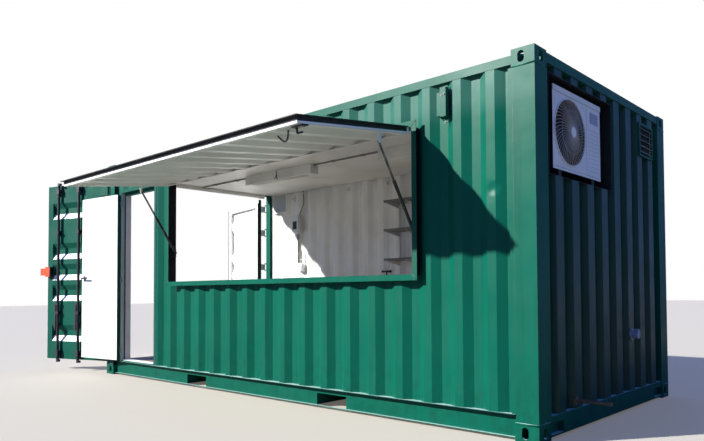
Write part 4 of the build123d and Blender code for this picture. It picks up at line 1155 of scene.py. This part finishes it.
def unit_feet(bm):
    """Rubber pads under the unit's rails."""
    pad_z = (1.774, 1.79)
    for middle in (UNIT_Y[0] + 0.12, UNIT_Y[1] - 0.12):
        y = about(middle, 0.035)
        for x in ((2.9, 2.975), (2.74, 2.8)):
            block(bm, (x[0], y[0], pad_z[0]), (x[1], y[1], pad_z[1]))


piece_of("fan_wheel", "fan", fan_wheel, "black_steel", smooth=True)
guard = piece_of("fan_guard_wires", "guard", guard_wires, "cream_plastic", smooth=True)
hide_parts("fan_guard")
piece_of("fan_guard_rim", "cream", guard_rim, "cream_plastic", smooth=True)
piece_of("fan_guard_hub", "cream", guard_hub, "cream_plastic", bevel=0.002, smooth=True)
piece_of("fan_well", "fan", fan_well, "black_steel", smooth=True)
piece_of("casing_seams", "seam", casing_seams, "black_steel")
piece_of("casing_lid", "cream", casing_lid, "cream_plastic", bevel=0.0015)
piece_of("casing_plate", "grey", small_plate, "grey_plastic", bevel=0.001)
piece_of("unit_foot_pads", "rubber", unit_feet, "black_rubber", bevel=0.003)


# Awning: its own plane runs out from the hinge pin
def on_awning(x, along, above):
    """A point of the open awning: along it from the pin, and above its upper side."""
    pin = Vector((x, *AWNING_PIN))
    return pin + along * Vector(AWNING_OUT) + above * Vector(AWNING_UP)


def awning_catch(bm):
    """Catch plate and its hook on the underside near the outer right corner."""
    under = -AWNING_UNDER
    along = 1.012
    size = (0.11, 0.05, 0.01)
    bar = 0.007
    turn = Matrix.Rotation(AWNING_DROOP, 4, "X")
    centre = Matrix.Translation(on_awning(1.955, along, under - 0.006))
    bmesh.ops.create_cube(bm, size=1, matrix=centre @ turn @ Matrix.Diagonal((*size, 1)))
    bend = on_awning(1.925, along, under - 0.045)
    rod(bm, on_awning(1.925, along, under - 0.01), bend, bar)
    rod(bm, bend, on_awning(1.975, along, under - 0.045), bar)
    for x in (1.915, 1.995):
        bolt(bm, on_awning(x, along, under - 0.011), -Vector(AWNING_UP), radius=0.006)


def awning_grip(bm):
    """Curved pull handle on the underside."""
    under = -AWNING_UNDER + 0.004
    start_x, start_along = 1.56, 0.875
    reach_x, reach_along = 0.2, 0.07
    deep = 0.052
    steps = 10
    last = on_awning(start_x, start_along, under)
    for i in range(1, steps + 1):
        share = i / steps
        along = start_along + reach_along * share * share
        hang = under - deep * math.sin(math.pi * share)
        spot = on_awning(start_x + reach_x * share, along, hang)
        rod(bm, last, spot, 0.006, sides=10)
        last = spot


def awning_corners(bm):
    """Weld beads across the outer corners of the awning's underside frame."""
    under = -AWNING_UNDER
    edge = AWNING_FAR - 0.003
    run = 0.04
    for x, side in ((-1.455, 1), (2.006, -1)):
        inner = on_awning(x + side * run, edge - run, under)
        rod(bm, on_awning(x, edge, under), inner, 0.0015, sides=6)


add = partial(piece_of, body="awning")
add("awning_catch", "black", awning_catch, "black_steel", bevel=0.001)
add("awning_grip", "black", awning_grip, "black_steel", smooth=True)
add("awning_corner_beads", "white", awning_corners, "white_steel", smooth=True)


# Cargo leaves: along from the hinge pin, and out of the leaf's outer face
def on_leaf(side, turn, along, out, z):
    """A point of an open cargo leaf."""
    run = Vector((-math.sin(turn), -side * math.cos(turn), 0))
    across = Vector(UP).cross(run)
    pin = Vector((CARGO_PIN[0], side * CARGO_PIN[1], z))
    return pin + run * along + across * side * (LEAF_FACE - out)


def leaf_gasket(point, bm):
    """Rubber seal round a cargo leaf: a strip on each upright edge and a bead inside it."""
    near, far = LEAF_SPAN
    low, high = LEAF_Z
    back = -LEAF_THICK
    bead = (back - 0.006, back + 0.001)
    foot = low + 0.001
    upright = (foot, high - 0.06)
    near_bead = near + 0.016
    far_bead = far - 0.022
    slab(bm, point, (near, near_bead), bead, upright)
    slab(bm, point, (far_bead, far - 0.0005), bead, upright)
    slab(bm, point, (near_bead, far_bead), bead, (foot, low + 0.02))
    slab(bm, point, (near - 0.003, near + 0.0005), (back, -0.003), (low, high))
    slab(bm, point, (far - 0.004, far - 0.0004), (back, -0.012), (low, high))


def gear_bolts(point, bm):
    """Bolts of the rod guides, and screws of the handle catches."""
    low, high = LEAF_Z
    out = point(0, 1, 0) - point(0, 0, 0)
    guides = ((0.035, 0.034), (0.265, 0.025), (0.726, 0.025), (0.965, 0.034))
    for at in LOCK_RODS:
        for share, reach in guides:
            for way in SIDES:
                spot = point(at + way * reach, 0.028, low + share * (high - low))
                bolt(bm, spot, out, radius=0.0055, high=0.006)
        for z in (0.57, 0.61):
            bolt(bm, point(at + 0.052, 0.044, z), out, radius=0.005, high=0.002)


leaves = {"near": partial(on_leaf, -1, NEAR_OPEN), "far": partial(on_leaf, 1, FAR_OPEN)}
leaf_pieces = (
    ("_leaf_gasket", "rubber", leaf_gasket, "black_rubber", 0.001),
    ("_gear_bolts", "black", gear_bolts, "black_steel", 0.0),
)
for ending, kind, build, slot, bevel in leaf_pieces:
    for leaf, point in leaves.items():
        body = leaf + "_cargo_door"
        piece_of(leaf + ending, kind, partial(build, point), slot, bevel, body=body)


# Personnel door: along from its pin, and depth towards the face it shows
def on_person(along, depth, z):
    """A point of the open personnel door leaf."""
    run = Vector((math.cos(PERSON_OPEN), -math.sin(PERSON_OPEN), 0))
    across = Vector(UP).cross(run)
    return Vector((*PERSON_PIN, z)) + run * along + across * depth


def person_edges(bm):
    """Folded edge strips of the leaf's skin."""
    near, far = PERSON_SPAN
    low, high = PERSON_Z
    skin = (PERSON_FACE - 0.001, PERSON_FACE + 0.0015)
    strip = 0.022
    gap = 0.001
    slab(bm, on_person, (near + gap, near + strip), skin, (low, high - gap))
    slab(bm, on_person, (far - strip, far - gap), skin, (low, high - gap))
    middle = (near + strip, far - strip)
    slab(bm, on_person, middle, skin, (high - strip, high - gap))
    slab(bm, on_person, middle, skin, (low, low + strip))


def person_seal(bm):
    """Black sealing strip just inside the hinge edge."""
    near = PERSON_SPAN[0]
    skin = (PERSON_FACE - 0.001, PERSON_FACE + 0.001)
    slab(bm, on_person, (near + 0.0225, near + 0.029), skin, PERSON_Z)


def person_lock(bm):
    """Key cylinder and rose screws at the handle."""
    face = PERSON_FACE + 0.004
    at = PERSON_SPAN[1] - 0.06
    out = on_person(0, 1, 0) - on_person(0, 0, 0)
    middle = on_person(at, face, 1.163)
    rod(bm, middle, middle + out * 0.006, 0.009, sides=20)
    for z in (1.149, 1.207):
        for side in SIDES:
            bolt(bm, on_person(at + side * 0.013, face, z), out, radius=0.003, high=0.002)


def threshold(bm):
    """Bright ribbed plate over the doorway's sill."""
    low = 0.1865
    plate = 0.002
    block(bm, (-2.64, -HALF_W + 0.001, low), (-1.904, -1.11, low + plate))
    for y in spaced(-1.212, pitch=0.0085, count=12):
        block(bm, (-2.634, y, low + 0.001), (-1.91, y + 0.003, low + 0.0034))


add = partial(piece_of, body="personnel_door")
add("personnel_leaf_edges", "frame_grey", person_edges, "white_steel", bevel=0.0005)
add("personnel_leaf_seal", "rubber", person_seal, "black_rubber")
add("personnel_lock", "steel", person_lock, "bare_steel")
piece_of("threshold_plate", "tread", threshold, "bare_steel")


def add_camera():
    """The camera at the photograph's viewing angle."""
    yaw = math.radians(CAMERA_YAW)
    pitch = math.radians(CAMERA_PITCH)
    roll = math.radians(CAMERA_ROLL)
    level_x = math.cos(pitch) * math.cos(yaw)
    level_y = math.cos(pitch) * math.sin(yaw)
    ahead = Vector((level_x, level_y, math.sin(pitch)))
    level = ahead.cross(Vector(UP)).normalized()
    upright = level.cross(ahead)
    right = level * math.cos(roll) + upright * math.sin(roll)
    up = upright * math.cos(roll) - level * math.sin(roll)
    data = bpy.data.cameras.new("camera")
    data.sensor_width = CAMERA_SENSOR
    data.lens = CAMERA_LENS
    data.shift_x, data.shift_y = CAMERA_SHIFT
    data.clip_end = CAMERA_FAR
    camera = add_object("camera", data)
    turned = Matrix((right, up, -ahead)).transposed().to_4x4()
    camera.matrix_world = Matrix.Translation(CAMERA_PLACE) @ turned
    bpy.context.scene.camera = camera


def camera_ray(tree):
    """1 for what the camera sees directly."""
    return tree.nodes.new("ShaderNodeLightPath").outputs["Is Camera Ray"]


def floor_material():
    """Pale to the camera and duller as a source of bounced light."""
    material, shader, tree = new_material("floor", 0.9, gleam=0.1)
    colour = colour_mix(tree, camera_ray(tree), FLOOR_BOUNCE, FLOOR_SEEN)
    tree.links.new(colour, shader.inputs["Base Color"])
    shader.inputs["Emission Color"].default_value = (*FLOOR_GLOW, 1)
    lift = maths(tree, "MULTIPLY", camera_ray(tree), FLOOR_LIFT)
    tree.links.new(lift, shader.inputs["Emission Strength"])
    return material


def add_stage():
    """A plain pale floor."""
    bpy.ops.mesh.primitive_plane_add(size=FLOOR_SIZE, location=(0, 0, 0))
    floor = bpy.context.object
    floor.name = "stage_floor"
    floor.data.materials.append(floor_material())


def add_sun():
    """A soft sun from the hatch side."""
    sun = bpy.data.lights.new("sun", "SUN")
    sun.energy = SUN_STRENGTH
    sun.color = SUN_COLOUR
    sun.angle = math.radians(SUN_ANGLE)
    lamp = add_object("sun", sun)
    lamp.rotation_euler = Vector(SUN_TRAVEL).to_track_quat("-Z", "Y").to_euler()


def add_fill():
    """Soft light that stands in for the daylight bounced about in the cabin."""
    fill = bpy.data.lights.new("cabin_fill", "AREA")
    fill.shape = "RECTANGLE"
    fill.size, fill.size_y = FILL_SIZE
    fill.energy = FILL_STRENGTH
    lamp = add_object("cabin_fill", fill)
    lamp.location = FILL_PLACE
    lamp.rotation_euler = (math.pi, 0, 0)
    lamp.visible_camera = False
    lamp.visible_glossy = False


def add_sky():
    """An even sky, bluer higher up, and white behind the object."""
    world = bpy.data.worlds.new("sky")
    bpy.context.scene.world = world
    world.use_nodes = True
    tree = world.node_tree
    tree.nodes.clear()
    way = tree.nodes.new("ShaderNodeTexCoord").outputs["Generated"]
    rise = ranged(tree, dot_with(tree, way, UP), low=0, high=SKY_RISE)
    sky = tree.nodes.new("ShaderNodeBackground")
    tree.links.new(colour_mix(tree, rise, SKY_LOW, SKY_HIGH), sky.inputs["Color"])
    sky.inputs["Strength"].default_value = SKY_STRENGTH
    seen = tree.nodes.new("ShaderNodeBackground")
    seen.inputs["Color"].default_value = (1, 1, 1, 1)
    mix = tree.nodes.new("ShaderNodeMixShader")
    out = tree.nodes.new("ShaderNodeOutputWorld")
    tree.links.new(camera_ray(tree), mix.inputs[0])
    tree.links.new(sky.outputs[0], mix.inputs[1])
    tree.links.new(seen.outputs[0], mix.inputs[2])
    tree.links.new(mix.outputs[0], out.inputs["Surface"])


add_camera()
add_stage()
add_sun()
add_fill()
add_sky()
bpy.context.scene.view_settings.view_transform = "Standard"
